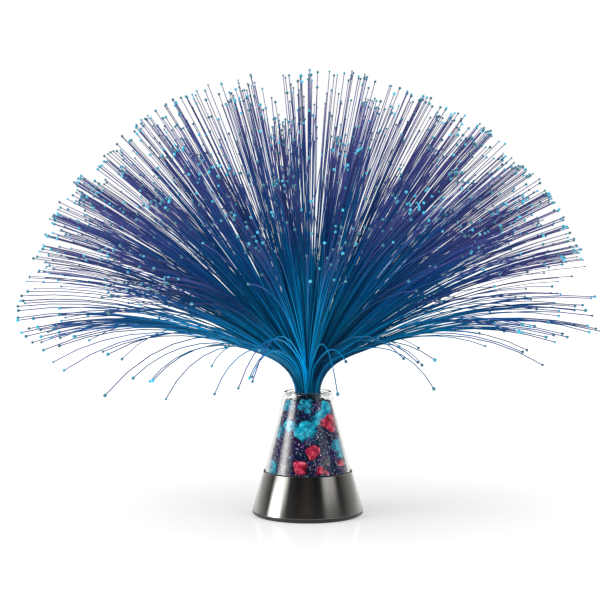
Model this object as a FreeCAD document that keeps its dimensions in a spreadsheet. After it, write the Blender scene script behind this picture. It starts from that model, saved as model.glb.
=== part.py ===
"""A battery fibre optic lamp: a brushed metal base, a clear cone of coloured stones and a spray of fibres.

Millimetres, +Z up. The origin is on the floor, under the middle of the base.
Driving dimensions are plain numbers in the sheet Sizes. What follows from them is in the variable set
Places, and every feature is bound to those two.
"""

import FreeCAD, Part
import math
import os
import random
import re

import Sketcher
from FreeCAD import Placement, Rotation, Vector

SIZES = {
    # base pan and feet
    "rim_inset": 0.1,
    "rim_fillet": 1.3,
    "foot_proud": 0.8,
    "foot_sink": 1.0,
    "foot_inset": 3.6,
    "foot_width": 3.0,
    "floor_thickness": 2.4,
    "pan_wall": 1.8,
    "pan_wall_height": 8.0,
    # metal skirt
    "skirt_bottom_radius": 44.0,
    "skirt_top_radius": 35.2,
    "skirt_height": 31.0,
    "skirt_wall": 0.8,
    "skirt_gap": 0.15,
    # glass cone and its seat
    "seat_depth": 3.0,
    "glass_step": 0.4,
    "glass_top_radius": 18.6,
    "glass_height": 66.3,
    "glass_wall": 2.0,
    "glass_rim_round": 0.7,
    "glass_gap": 0.2,
    "seal_height": 0.5,
    "lid_thickness": 1.2,
    "lid_depth": 1.6,
    # tray that carries the glass, the tube and the board
    "tray_thickness": 2.0,
    "ring_height": 1.0,
    "ring_wall": 1.2,
    "hub_wall": 2.0,
    "hub_gap": 0.4,
    "window_ledge": 1.9,
    "window_thickness": 1.4,
    "socket_gap": 0.1,
    # tube and bundle
    "tube_radius": 10.5,
    "tube_wall": 0.5,
    "tube_short": 1.0,
    "bundle_gap": 0.1,
    "bundle_lift": 0.2,
    "ferrule_wall": 0.6,
    "ferrule_length": 24.0,
    "bundle_short": 0.5,
    # board
    "board_drop": 4.4,
    "board_thickness": 1.6,
    "board_radius": 24.0,
    "board_screw_inset": 4.0,
    "board_boss_radius": 2.8,
    "board_screw_radius": 0.95,
    "board_screw_length": 5.0,
    "small_head_radius": 1.8,
    "small_head_height": 0.9,
    "led_side": 5.0,
    "led_height": 1.2,
    "led_lens_radius": 1.9,
    "led_lens_height": 0.4,
    "cup_lip": 0.7,
    "cup_gap": 0.3,
    "resistor_length": 3.2,
    "resistor_width": 1.6,
    "resistor_height": 0.6,
    "resistor_pitch": 3.0,
    "part_inset": 5.8,
    "chip_length": 5.0,
    "chip_width": 4.0,
    "chip_height": 1.5,
    "can_radius": 2.0,
    "can_height": 3.2,
    # screws between pan and tray
    "screw_radius": 1.3,
    "screw_length": 16.0,
    "screw_head_radius": 2.4,
    "screw_head_height": 1.4,
    "thread_gap": 0.1,
    "post_radius": 2.5,
    "post_inset": 0.4,
    "post_gap": 0.3,
    "boss_margin": 0.2,
    "boss_height": 8.8,
    # battery bay, door and cells
    "cell_radius": 7.1,
    "cell_length": 50.2,
    "cell_nub_radius": 2.75,
    "cell_nub_length": 1.0,
    "cell_space": 0.4,
    "cell_gap": 0.3,
    "bay_clearance": 0.9,
    "bay_wall": 1.5,
    "roof_clearance": 0.5,
    "roof_thickness": 1.4,
    "contact_thickness": 0.5,
    "contact_width": 9.0,
    "contact_lift": 4.2,
    "contact_margin": 0.4,
    "dimple_radius": 2.0,
    "dimple_length": 1.0,
    "spring_room": 6.2,
    "spring_radius": 3.0,
    "spring_wire": 0.35,
    "spring_turns": 4,
    "tab_width": 4.0,
    "tab_rise": 2.0,
    "door_thickness": 1.8,
    "door_gap": 0.3,
    "hinge_inset": 1.8,
    "hinge_rise": 1.4,
    "hinge_radius": 0.8,
    "hinge_gap": 0.1,
    "hinge_reach": 1.2,
    "hinge_round": 1.1,
    "latch_width": 12.0,
    "latch_reach": 1.0,
    "latch_thickness": 1.0,
    "latch_gap": 0.1,
    "notch_length": 4.0,
    "notch_depth": 1.2,
    "groove_width": 1.0,
    "groove_pitch": 2.4,
    "groove_depth": 0.5,
    # slide switch
    "switch_gap": 5.4,
    "switch_length": 13.0,
    "switch_width": 6.0,
    "switch_height": 5.0,
    "switch_ear_thickness": 1.0,
    "switch_screw_radius": 0.9,
    "switch_screw_bite": 1.6,
    "switch_head_radius": 1.5,
    "switch_head_height": 1.0,
    "switch_cavity_height": 2.0,
    "knob_travel": 4.0,
    "knob_length": 2.6,
    "knob_width": 2.4,
    "knob_recess": 0.3,
    "knob_flange_length": 5.0,
    "knob_flange_width": 3.4,
    "knob_flange_height": 1.2,
    "knob_gap": 0.3,
    "lug_length": 2.5,
    "lug_width": 1.5,
    "lug_thickness": 0.5,
    "lug_pitch": 4.0,
    # leads
    "lead_radius": 0.7,
    "lead_rise": 4.2,
    "lead_slack": 6.4,
    "lead_gap": 0.8,
    "pad_inset": 3.0,
    # stones
    "stone_gap": 0.3,
    "stone_size": 9.6,
    "fill_room": 4.0,
    "fill_rise": 2.0,
    "fill_drop": 1.0,
    # fibres
    "fibre_radius": 0.375,
    "fibre_length": 253.0,
    "fibre_packing": 0.465,
    "fibre_shortening": 0.06,
    "tuft_count": 60,
    "tuft_spread": 0.4,
    "fibre_splay": 92.0,
    "fibre_bend_length": 46.0,
    "fibre_bend_share": 0.75,
    "fibre_side_trim": 0.04,
}

PLACES = {
    # heights, from the floor up
    "pan_bottom": "foot_proud",
    "floor_top": "pan_bottom + floor_thickness",
    "pan_wall_top": "floor_top + pan_wall_height",
    "boss_top": "floor_top + boss_height",
    "skirt_bottom": "floor_top",
    "skirt_top": "skirt_bottom + skirt_height",
    "skirt_slope": "(skirt_bottom_radius - skirt_top_radius) / skirt_height",
    "tray_top": "skirt_top - seat_depth",
    "tray_bottom": "tray_top - tray_thickness",
    "board_top": "tray_bottom - board_drop",
    "board_bottom": "board_top - board_thickness",
    "hub_bottom": "board_top + hub_gap",
    "hub_top": "tray_top + ring_height",
    "window_bottom": "tray_bottom - tray_thickness",
    "window_top": "window_bottom + window_thickness",
    "glass_top": "tray_top + glass_height",
    "glass_bottom_radius": "skirt_top_radius - glass_step",
    "glass_slope": "(glass_bottom_radius - glass_top_radius) / glass_height",
    "lid_top": "glass_top - lid_depth",
    "lid_bottom": "lid_top - lid_thickness",
    "tube_top": "glass_top - tube_short",
    "bundle_bottom": "window_top + bundle_lift",
    "ferrule_top": "bundle_bottom + ferrule_length",
    "bundle_top": "tube_top - bundle_short",
    "seal_bottom_radius": "glass_bottom_radius - glass_slope * seat_depth + glass_gap",
    "seal_top_radius": "seal_bottom_radius - glass_slope * seal_height",
    # radii in the base
    "rim_radius": "skirt_bottom_radius - rim_inset",
    "foot_radius": "rim_radius - foot_inset",
    "skirt_inner_bottom": "skirt_bottom_radius - skirt_wall",
    "skirt_inner_top": "skirt_top_radius - skirt_wall",
    "wall_outer_bottom": "skirt_inner_bottom - skirt_gap",
    "wall_outer_top": "wall_outer_bottom - skirt_slope * pan_wall_height",
    "tray_edge_top": "skirt_inner_top + skirt_slope * seat_depth - skirt_gap",
    "tray_edge_bottom": "tray_edge_top + skirt_slope * tray_thickness",
    "ring_outer_bottom": "glass_bottom_radius - glass_wall - glass_gap",
    "ring_outer_top": "ring_outer_bottom - glass_slope * ring_height",
    "ring_inner": "ring_outer_top - ring_wall",
    "socket_radius": "tube_radius + socket_gap",
    "hub_radius": "socket_radius + hub_wall",
    "light_radius": "tube_radius - window_ledge",
    "tube_inner": "tube_radius - tube_wall",
    "bundle_radius": "tube_inner - bundle_gap",
    "core_radius": "bundle_radius - ferrule_wall",
    "glass_inner_bottom": "glass_bottom_radius - glass_wall",
    "lid_outer_bottom": "glass_inner_bottom - glass_slope * (lid_bottom - tray_top) - glass_gap",
    "lid_outer_top": "lid_outer_bottom - glass_slope * lid_thickness",
    "led_top": "board_top + led_height",
    "cup_top": "window_bottom - cup_gap",
    "cup_radius": "light_radius - cup_gap",
    "cup_throat": "led_side / sqrt(2) + cup_gap",
    "board_screw_circle": "board_radius - board_screw_inset",
    "part_circle": "board_radius - part_inset",
    # screws that join pan and tray, between the battery box and the skirt
    "boss_radius": "post_radius + boss_margin",
    "screw_circle": "tray_edge_bottom - post_radius - post_inset",
    "screw_y": "bay_half_width + bay_wall + post_gap + post_radius",
    "screw_x": "sqrt(screw_circle * screw_circle - screw_y * screw_y)",
    "screw_seat": "pan_bottom + screw_head_height + 2 * thread_gap",
    # battery bay
    "cell_height": "pan_bottom + door_thickness + cell_gap + cell_radius",
    "bay_half_length": "contact_thickness + (dimple_length + cell_length + spring_room) / 2",
    "cell_pitch": "2 * cell_radius + cell_space",
    "bay_half_width": "cell_pitch + cell_radius + bay_clearance",
    "roof_bottom": "cell_height + cell_radius + roof_clearance",
    "roof_top": "roof_bottom + roof_thickness",
    "contact_face": "bay_half_length - contact_thickness",
    "contact_bottom": "pan_bottom + contact_lift",
    "contact_height": "roof_bottom - contact_bottom - contact_margin",
    "tab_top": "roof_top + tab_rise",
    "cell_front": "contact_face - dimple_length",
    "cell_back": "cell_front - cell_length",
    "door_half_width": "bay_half_width - door_gap",
    "door_end": "bay_half_length - door_gap",
    "hinge_x": "bay_half_length - hinge_inset",
    "hinge_z": "pan_bottom + hinge_rise",
    "hinge_end": "hinge_x + hinge_rise",
    "latch_bottom": "floor_top + latch_gap",
    "latch_top": "latch_bottom + latch_thickness",
    "latch_tip": "bay_half_length + latch_reach",
    # slide switch
    "switch_offset": "bay_half_width + bay_wall + switch_gap + switch_width / 2",
    "switch_screw_offset": "switch_length / 2 + switch_head_radius + thread_gap",
    "switch_ear_length": "2 * (switch_screw_offset + switch_head_radius + thread_gap)",
    "knob_x": "0 - knob_travel / 2",
    "flange_bottom": "floor_top + knob_gap",
    "switch_top": "floor_top + switch_height",
    "slot_length": "knob_travel + knob_length + 2 * knob_gap",
    "slot_width": "knob_width + 2 * knob_gap",
    "cavity_length": "knob_travel + knob_flange_length + 2 * knob_gap",
    "cavity_width": "knob_flange_width + 2 * knob_gap",
}

WORD = re.compile(r"[a-z][a-z_]*[a-z]")


def tie(text):
    """The expression with each of the part's own names made a reference."""

    def refer(found):
        name = found.group(0)
        if name in SIZES:
            return "Sizes." + name
        return "Places." + name if name in PLACES else name

    return WORD.sub(refer, text)


doc = FreeCAD.newDocument("fibre_optic_lamp")


def make_sheet():
    sheet = doc.addObject("Spreadsheet::Sheet", "Sizes")
    for row, (name, value) in enumerate(SIZES.items(), 1):
        sheet.set(f"A{row}", str(value))
        sheet.setAlias(f"A{row}", name)
    doc.recompute()
    return sheet


def make_places():
    places = doc.addObject("App::VarSet", "Places")
    for name in PLACES:
        places.addProperty("App::PropertyFloat", name, "Places", "")
    for name, text in PLACES.items():
        places.setExpression(name, tie(text))
    doc.recompute()
    return places


sheet = make_sheet()
places = make_places()


def size(name):
    """A driving dimension, or a place worked out from them, as a number."""
    return float(sheet.get(name)) if name in SIZES else getattr(places, name)


# --- features ---------------------------------------------------------------------------------------


def body_plane(body, role):
    return next(f for f in body.Origin.OriginFeatures if f.Role == role)


def new_sketch(body, name, role, lift):
    sketch = body.newObject("Sketcher::SketchObject", name)
    sketch.AttachmentSupport = (body_plane(body, role), "")
    sketch.MapMode = "FlatFace"
    if lift:
        sketch.setExpression(".AttachmentOffset.Base.z", tie(lift))
    return sketch


def draw_outline(sketch, points):
    """A closed outline of straight lines, each corner held at its own two expressions."""
    count, first = len(points), sketch.GeometryCount
    corners = [Vector(10 * math.cos(a), 10 * math.sin(a), 0) for a in
               (math.tau * i / count for i in range(count))]
    for i in range(count):
        sketch.addGeometry(Part.LineSegment(corners[i], corners[(i + 1) % count]), False)
    for i in range(count):
        following = first + (i + 1) % count
        sketch.addConstraint(Sketcher.Constraint("Coincident", first + i, 2, following, 1))
    for i, (across, up) in enumerate(points):
        hold_point(sketch, first + i, 1, across, up, corners[i])


def hold_point(sketch, line, end, across, up, start):
    for kind, text, value in (("DistanceX", across, start.x), ("DistanceY", up, start.y)):
        held = sketch.addConstraint(Sketcher.Constraint(kind, -1, 1, line, end, value))
        sketch.setExpression(f"Constraints[{held}]", tie(text))


def draw_circle(sketch, across, up, radius):
    centre = Vector(5, 5, 0)
    circle = sketch.addGeometry(Part.Circle(centre, Vector(0, 0, 1), 2), False)
    hold_point(sketch, circle, 3, across, up, centre)
    held = sketch.addConstraint(Sketcher.Constraint("Radius", circle, 2))
    sketch.setExpression(f"Constraints[{held}]", tie(radius))


def rectangle(low_x, high_x, low_y, high_y):
    return [(low_x, low_y), (high_x, low_y), (high_x, high_y), (low_x, high_y)]


def about(centre, width):
    """The two ends of a stretch of the given width about a centre."""
    return f"{centre} - ({width}) / 2", f"{centre} + ({width}) / 2"


def new_body(name):
    return doc.addObject("PartDesign::Body", name)


def turn(body, name, outline):
    """A full turn of an (r, z) outline about the Z axis."""
    sketch = new_sketch(body, name + "_sketch", "XZ_Plane", None)
    draw_outline(sketch, outline)
    feature = body.newObject("PartDesign::Revolution", name)
    feature.Profile = sketch
    feature.ReferenceAxis = (sketch, ["V_Axis"])
    feature.Angle = 360
    sketch.Visibility = False
    doc.recompute()
    return feature


def turned(name, outline):
    body = new_body(name)
    turn(body, name + "_turn", outline)
    return body


def extrude(body, kind, name, shapes, lift, length, up=True, role="XY_Plane", both_ways=False):
    """A Pad or Pocket of outlines and circles: lists of corners, and tuples of (x, y, radius)."""
    sketch = new_sketch(body, name + "_sketch", role, lift)
    for shape in shapes:
        if isinstance(shape, list):
            draw_outline(sketch, shape)
        else:
            draw_circle(sketch, *shape)
    feature = body.newObject("PartDesign::" + kind, name)
    feature.Profile = sketch
    feature.setExpression("Length", tie(length))
    # a pad grows along the sketch's normal, and a pocket cuts against it
    feature.Reversed = up == (kind == "Pocket")
    if both_ways:
        feature.SideType = "Symmetric"
    sketch.Visibility = False
    doc.recompute()
    return feature


def pad(body, name, shapes, lift, length, **how):
    return extrude(body, "Pad", name, shapes, lift, length, **how)


def pocket(body, name, shapes, lift, length, **how):
    before = body.Shape.Volume
    feature = extrude(body, "Pocket", name, shapes, lift, length, **how)
    if body.Shape.Volume > before - 1e-3:
        raise ValueError(f"{name} cuts nothing")
    return feature


def round_edges(body, name, radius, wanted):
    """A fillet on the edges that wanted picks."""
    base = body.Tip
    edges = [f"Edge{i}" for i, edge in enumerate(base.Shape.Edges, 1) if wanted(edge)]
    if not edges:
        raise ValueError(f"{name} finds no edge")
    feature = body.newObject("PartDesign::Fillet", name)
    feature.Base = (base, edges)
    feature.setExpression("Radius", tie(radius))
    doc.recompute()
    return feature


def ring_edge(height, radius):
    """Picks a circle about the Z axis."""

    def wanted(edge):
        curve = edge.Curve
        return (curve.TypeId == "Part::GeomCircle" and abs(curve.Center.z - height) < 1e-4
                and abs(curve.Radius - radius) < 1e-4)

    return wanted


def put(shape, x, y, z, rotation=Rotation()):
    shape.Placement = Placement(Vector(), rotation)
    for axis, text in (("x", x), ("y", y), ("z", z)):
        shape.setExpression(f".Placement.Base.{axis}", tie(text))


def cylinder(name, radius, height, x="0", y="0", z="0", rotation=Rotation()):
    shape = doc.addObject("Part::Cylinder", name)
    shape.setExpression("Radius", tie(radius))
    shape.setExpression("Height", tie(height))
    put(shape, x, y, z, rotation)
    return shape


def box(name, low_x, high_x, low_y, high_y, low_z, high_z):
    shape = doc.addObject("Part::Box", name)
    for side, low, high in (("Length", low_x, high_x), ("Width", low_y, high_y), ("Height", low_z, high_z)):
        shape.setExpression(side, tie(f"({high}) - ({low})"))
    put(shape, low_x, low_y, low_z)
    return shape


def fused(name, pieces):
    whole = doc.addObject("Part::MultiFuse", name)
    whole.Shapes = pieces
    return whole


def group(name, pieces):
    """Separate solids that share a node."""
    whole = doc.addObject("Part::Compound", name)
    whole.Links = pieces
    return whole


def plain(name, shape):
    """A sub-part whose shape is worked out here, with its sizes read from the sheet."""
    feature = doc.addObject("Part::Feature", name)
    feature.Shape = shape
    feature.Placement = Placement()
    return feature


def four_corners(x, y):
    return [(f"{a} * {x}", f"{b} * {y}") for a in (1, -1) for b in (1, -1)]


# --- base -------------------------------------------------------------------------------------------

TO_X = Rotation(Vector(0, 1, 0), 90)


def make_foot():
    """The rubber ring that the lamp stands on, sunk in a groove of the pan."""
    inner, outer = about("foot_radius", "foot_width")
    top = "foot_proud + foot_sink"
    return turned("rubber_foot", [(inner, "0"), (outer, "0"), (outer, top), (inner, top)])


def bay_outline():
    """The battery box from above, with its corners cut to clear the skirt."""
    long, wide = "bay_half_length", "bay_half_width"
    walled_long, walled_wide = f"({long} + bay_wall)", f"({wide} + bay_wall)"
    corners = []
    for a, b in ((1, 1), (-1, 1), (-1, -1), (1, -1)):
        pair = [(f"{a} * {walled_long}", f"{b} * {wide}"), (f"{a} * {long}", f"{b} * {walled_wide}")]
        corners += pair if a * b > 0 else pair[::-1]
    return corners


def make_base_pan():
    """The moulded underside: floor and rim, battery box and bosses, with a groove for the foot."""
    body = new_body("base_pan")
    turn(body, "pan_turn", [
        ("0", "pan_bottom"), ("rim_radius", "pan_bottom"), ("rim_radius", "floor_top"),
        ("wall_outer_bottom", "floor_top"), ("wall_outer_top", "pan_wall_top"),
        ("wall_outer_top - pan_wall", "pan_wall_top"), ("wall_outer_top - pan_wall", "floor_top"),
        ("0", "floor_top"),
    ])
    round_edges(body, "rim_round", "rim_fillet", ring_edge(size("pan_bottom"), size("rim_radius")))
    pad(body, "bay_block", [bay_outline()], "floor_top", "roof_top - floor_top")
    corners = four_corners("screw_x", "screw_y")
    pad(body, "bosses", [(x, y, "boss_radius") for x, y in corners], "floor_top", "boss_height")
    pocket(body, "bay_room",
           [rectangle("0 - bay_half_length", "bay_half_length", "0 - bay_half_width", "bay_half_width")],
           "roof_bottom", "roof_bottom - pan_bottom", up=False)
    pocket(body, "hinge_sockets", [("0 - hinge_x", "hinge_z", "hinge_radius + hinge_gap")], None,
           "2 * (door_half_width + hinge_reach + hinge_gap)", role="XZ_Plane", both_ways=True)
    low, high = about("0", "latch_width + 2 * door_gap")
    pocket(body, "latch_slot",
           [rectangle("bay_half_length - door_gap", "latch_tip + door_gap", low, high)],
           "latch_top + door_gap", "latch_top + door_gap - floor_top", up=False)
    pocket(body, "finger_notch",
           [rectangle("bay_half_length - door_gap", "bay_half_length + notch_length", low, high)],
           "pan_bottom", "notch_depth")
    slot = ("contact_face - door_gap", "bay_half_length + contact_margin / 4")
    half = "tab_width / 2 + door_gap"
    turned_slot = [f"0 - ({end})" for end in reversed(slot)]
    pocket(body, "tab_slots", [
        rectangle(*slot, f"cell_pitch - ({half})", f"cell_pitch + {half}"),
        rectangle(*turned_slot, f"0 - cell_pitch - ({half})", f"0 - cell_pitch + {half}"),
    ], "roof_top", "roof_thickness", up=False)
    inner, outer = about("foot_radius", "foot_width + 2 * thread_gap")
    pocket(body, "foot_groove", [("0", "0", outer), ("0", "0", inner)], "pan_bottom", "foot_sink")
    pocket(body, "screw_holes", [(x, y, "screw_radius + thread_gap") for x, y in corners],
           "boss_top", "boss_top - pan_bottom", up=False)
    pocket(body, "head_seats", [(x, y, "screw_head_radius + thread_gap") for x, y in corners],
           "pan_bottom", "screw_seat - pan_bottom")
    low_x, high_x = about("0", "slot_length")
    low_y, high_y = about("0 - switch_offset", "slot_width")
    pocket(body, "switch_slot", [rectangle(low_x, high_x, low_y, high_y)],
           "floor_top", "floor_thickness", up=False)
    pilots = [(f"{side} * switch_screw_offset", "0 - switch_offset", "switch_screw_radius + thread_gap")
              for side in (1, -1)]
    pocket(body, "switch_pilots", pilots, "floor_top", "switch_screw_bite + thread_gap", up=False)
    return body


def make_pan_screws():
    screws = []
    for i, (x, y) in enumerate(four_corners("screw_x", "screw_y"), 1):
        head = cylinder(f"pan_screw_head_{i}", "screw_head_radius", "screw_head_height",
                        x, y, "screw_seat - screw_head_height")
        shank = cylinder(f"pan_screw_shank_{i}", "screw_radius", "screw_length", x, y, "screw_seat")
        screws.append(fused(f"pan_screw_{i}", [head, shank]))
    return group("pan_screws", screws)


def make_skirt():
    body = turned("metal_skirt", [
        ("skirt_inner_bottom", "skirt_bottom"), ("skirt_bottom_radius", "skirt_bottom"),
        ("skirt_top_radius", "skirt_top"), ("skirt_inner_top", "skirt_top"),
    ])
    round_edges(body, "skirt_lip", "skirt_wall / 4", ring_edge(size("skirt_top"), size("skirt_top_radius")))
    return body


def make_tray():
    """The disc that seats the glass and the tube, with posts for the pan's screws and the board's."""
    body = turned("upper_tray", [
        ("light_radius", "hub_bottom"), ("hub_radius", "hub_bottom"), ("hub_radius", "tray_bottom"),
        ("tray_edge_bottom", "tray_bottom"), ("tray_edge_top", "tray_top"),
        ("ring_outer_bottom", "tray_top"), ("ring_outer_top", "hub_top"), ("ring_inner", "hub_top"),
        ("ring_inner", "tray_top"), ("hub_radius", "tray_top"), ("hub_radius", "hub_top"),
        ("socket_radius", "hub_top"), ("socket_radius", "window_bottom"), ("light_radius", "window_bottom"),
    ])
    corners = four_corners("screw_x", "screw_y")
    pad(body, "posts", [(x, y, "post_radius") for x, y in corners],
        "tray_bottom", "tray_bottom - boss_top", up=False)
    pocket(body, "post_holes", [(x, y, "screw_radius + thread_gap") for x, y in corners],
           "boss_top", "screw_seat + screw_length + thread_gap - boss_top")
    spots = board_screw_spots()
    pad(body, "board_bosses", [(x, y, "board_boss_radius") for x, y in spots],
        "tray_bottom", "board_drop", up=False)
    pocket(body, "board_holes", [(x, y, "board_screw_radius + thread_gap") for x, y in spots],
           "board_top", "board_screw_length - board_thickness + thread_gap")
    return body


def make_glass():
    """A clear truncated cone, open at both ends, with a rounded mouth."""
    body = turned("glass_cone", [
        ("glass_bottom_radius - glass_wall", "tray_top"), ("glass_bottom_radius", "tray_top"),
        ("glass_top_radius", "glass_top"), ("glass_top_radius - glass_wall", "glass_top"),
    ])
    outer = ring_edge(size("glass_top"), size("glass_top_radius"))
    inner = ring_edge(size("glass_top"), size("glass_top_radius") - size("glass_wall"))
    round_edges(body, "mouth_round", "glass_rim_round", lambda edge: outer(edge) or inner(edge))
    return body


def make_seal():
    return turned("seal_ring", [
        ("seal_bottom_radius", "skirt_top"), ("skirt_top_radius - skirt_wall / 4", "skirt_top"),
        ("skirt_top_radius - skirt_wall / 2", "skirt_top + seal_height"),
        ("seal_top_radius", "skirt_top + seal_height"),
    ])


def make_lid():
    """The clear ring that holds the tube upright in the mouth and keeps the stones in."""
    return turned("mouth_ring", [
        ("socket_radius", "lid_bottom"), ("lid_outer_bottom", "lid_bottom"),
        ("lid_outer_top", "lid_top"), ("socket_radius", "lid_top"),
    ])


def make_tube():
    return turned("centre_tube", [
        ("tube_inner", "window_top"), ("tube_radius", "window_top"),
        ("tube_radius", "tube_top"), ("tube_inner", "tube_top"),
    ])


def make_window():
    return cylinder("light_window", "tube_radius", "window_thickness", z="window_bottom")


# --- light and electrics ----------------------------------------------------------------------------


def board_screw_spots():
    return [(f"board_screw_circle * cos({angle})", f"board_screw_circle * sin({angle})")
            for angle in (90, 210, 330)]


def make_board():
    body = new_body("led_board")
    pad(body, "board_disc", [("0", "0", "board_radius")], "board_bottom", "board_thickness")
    pocket(body, "board_fixings", [(x, y, "board_screw_radius + thread_gap") for x, y in board_screw_spots()],
           "board_top", "board_thickness", up=False)
    return body


def make_board_screws():
    screws = []
    for i, (x, y) in enumerate(board_screw_spots(), 1):
        head = cylinder(f"board_screw_head_{i}", "small_head_radius", "small_head_height",
                        x, y, "board_bottom - small_head_height")
        shank = cylinder(f"board_screw_shank_{i}", "board_screw_radius", "board_screw_length",
                         x, y, "board_bottom")
        screws.append(fused(f"board_screw_{i}", [head, shank]))
    return group("board_screws", screws)


def make_led():
    low, high = about("0", "led_side")
    case = box("led_case", low, high, low, high, "board_top", "led_top")
    lens = cylinder("led_lens", "led_lens_radius", "led_lens_height", z="led_top")
    return fused("colour_led", [case, lens])


def make_cup():
    return turned("reflector_cup", [
        ("cup_throat", "board_top"), ("cup_radius", "board_top"),
        ("cup_radius", "cup_top"), ("cup_radius - cup_lip", "cup_top"),
    ])


def make_board_parts():
    resistors = []
    for i in (-1, 0, 1):
        low_x, high_x = about("part_circle * cos(150)", "resistor_length")
        low_y, high_y = about(f"part_circle * sin(150) + {i} * resistor_pitch", "resistor_width")
        resistors.append(box(f"resistor_{i + 2}", low_x, high_x, low_y, high_y,
                             "board_top", "board_top + resistor_height"))
    group("resistors", resistors)
    low_x, high_x = about("0", "chip_length")
    low_y, high_y = about("0 - part_circle", "chip_width")
    box("colour_controller", low_x, high_x, low_y, high_y, "board_top", "board_top + chip_height")
    cylinder("capacitor", "can_radius", "can_height", "part_circle * cos(30)", "part_circle * sin(30)",
             "board_top")


def make_cells():
    """Three AA cells side by side, the middle one turned round."""
    for i, (row, facing) in enumerate(((1, 1), (0, -1), (-1, 1)), 1):
        start = "cell_back" if facing > 0 else "cell_nub_length - cell_front"
        tip = "cell_front - cell_nub_length" if facing > 0 else "0 - cell_front"
        y = f"{row} * cell_pitch"
        can = cylinder(f"cell_can_{i}", "cell_radius", "cell_length - cell_nub_length",
                       start, y, "cell_height", TO_X)
        nub = cylinder(f"cell_nub_{i}", "cell_nub_radius", "cell_nub_length", tip, y, "cell_height", TO_X)
        fused(f"battery_cell_{i}", [can, nub])


def contact_plate(name, side, low_y, high_y):
    """A spring steel plate against one end wall of the battery box: side is 1 at +X and -1 at -X."""
    ends = ("contact_face", "bay_half_length") if side > 0 else ("0 - bay_half_length", "0 - contact_face")
    return box(name, *ends, low_y, high_y, "contact_bottom", "contact_bottom + contact_height")


def contact_dimple(name, side, row):
    start = "cell_front" if side > 0 else "0 - contact_face"
    return cylinder(name, "dimple_radius", "dimple_length", start, f"{row} * cell_pitch", "cell_height", TO_X)


def contact_tab(name, side, row):
    ends = ("contact_face", "bay_half_length") if side > 0 else ("0 - bay_half_length", "0 - contact_face")
    low_y, high_y = about(f"{row} * cell_pitch", "tab_width")
    return box(name, *ends, low_y, high_y, "contact_bottom + contact_height / 2", "tab_top")


def make_contacts():
    """The end contacts carry a tab each, and the two bridges join the cells in series."""
    half = "contact_width / 2"
    fused("contact_plus", [
        contact_plate("plus_plate", 1, f"cell_pitch - {half}", f"cell_pitch + {half} / 2"),
        contact_dimple("plus_dimple", 1, 1), contact_tab("plus_tab", 1, 1),
    ])
    fused("contact_minus", [
        contact_plate("minus_plate", -1, f"0 - cell_pitch - {half}", f"{half} - cell_pitch"),
        contact_tab("minus_tab", -1, -1),
    ])
    fused("bridge_left", [
        contact_plate("left_plate", -1, f"0 - {half}", f"cell_pitch + {half}"),
        contact_dimple("left_dimple", -1, 0),
    ])
    fused("bridge_right", [
        contact_plate("right_plate", 1, f"0 - cell_pitch - {half}", half),
        contact_dimple("right_dimple", 1, -1),
    ])


def coil_path(radius, length, turns):
    """A smooth curve through points on a helix about the Z axis."""
    count = 24 * turns
    points = [Vector(radius * math.cos(math.tau * turns * i / count),
                     radius * math.sin(math.tau * turns * i / count), length * i / count)
              for i in range(count + 1)]
    curve = Part.BSplineCurve()
    curve.interpolate(points)
    return curve


def make_springs():
    """A coil spring behind the flat end of each cell."""
    wire, gap = size("spring_wire"), size("thread_gap") / 2
    length = size("spring_room") - 2 * (wire + gap)
    path = coil_path(size("spring_radius"), length, round(size("spring_turns")))
    start, heading = path.StartPoint, path.tangent(path.FirstParameter)[0]
    springs = []
    for side, row in ((-1, 1), (1, 0), (-1, -1)):
        section = Part.Wire([Part.Circle(start, heading, wire).toShape()])
        coil = Part.Wire([path.toShape()]).makePipeShell([section], True, False)
        x, y = side * (size("contact_face") - wire - gap), row * size("cell_pitch")
        facing = Rotation(Vector(0, 0, 1), Vector(-side, 0, 0))
        coil.Placement = Placement(Vector(x, y, size("cell_height")), facing)
        springs.append(coil)
    return plain("contact_springs", Part.makeCompound(springs))


def rounded_route(points, radius_limit):
    """Straight runs joined by tangent arcs, as one wire."""
    edges, start = [], points[0]
    for before, corner, after in zip(points, points[1:], points[2:]):
        back, ahead = (before - corner), (after - corner)
        turn_angle = math.pi - back.getAngle(ahead)
        reach = 0.45 * min(back.Length, ahead.Length)
        radius = min(reach / math.tan(turn_angle / 2), radius_limit)
        reach = radius * math.tan(turn_angle / 2)
        back.normalize()
        ahead.normalize()
        first, last = corner + back * reach, corner + ahead * reach
        inward = (back + ahead).normalize()
        centre = corner + inward * math.hypot(radius, reach)
        edges.append(Part.LineSegment(start, first).toShape())
        edges.append(Part.Arc(first, centre - inward * radius, last).toShape())
        start = last
    edges.append(Part.LineSegment(start, points[-1]).toShape())
    return Part.Wire(edges)


def make_lead(name, points):
    radius = size("lead_radius")
    route = rounded_route(points, 12 * radius)
    section = Part.Wire([Part.Circle(points[0], points[1] - points[0], radius).toShape()])
    return plain(name, route.makePipeShell([section], True, False))


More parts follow.
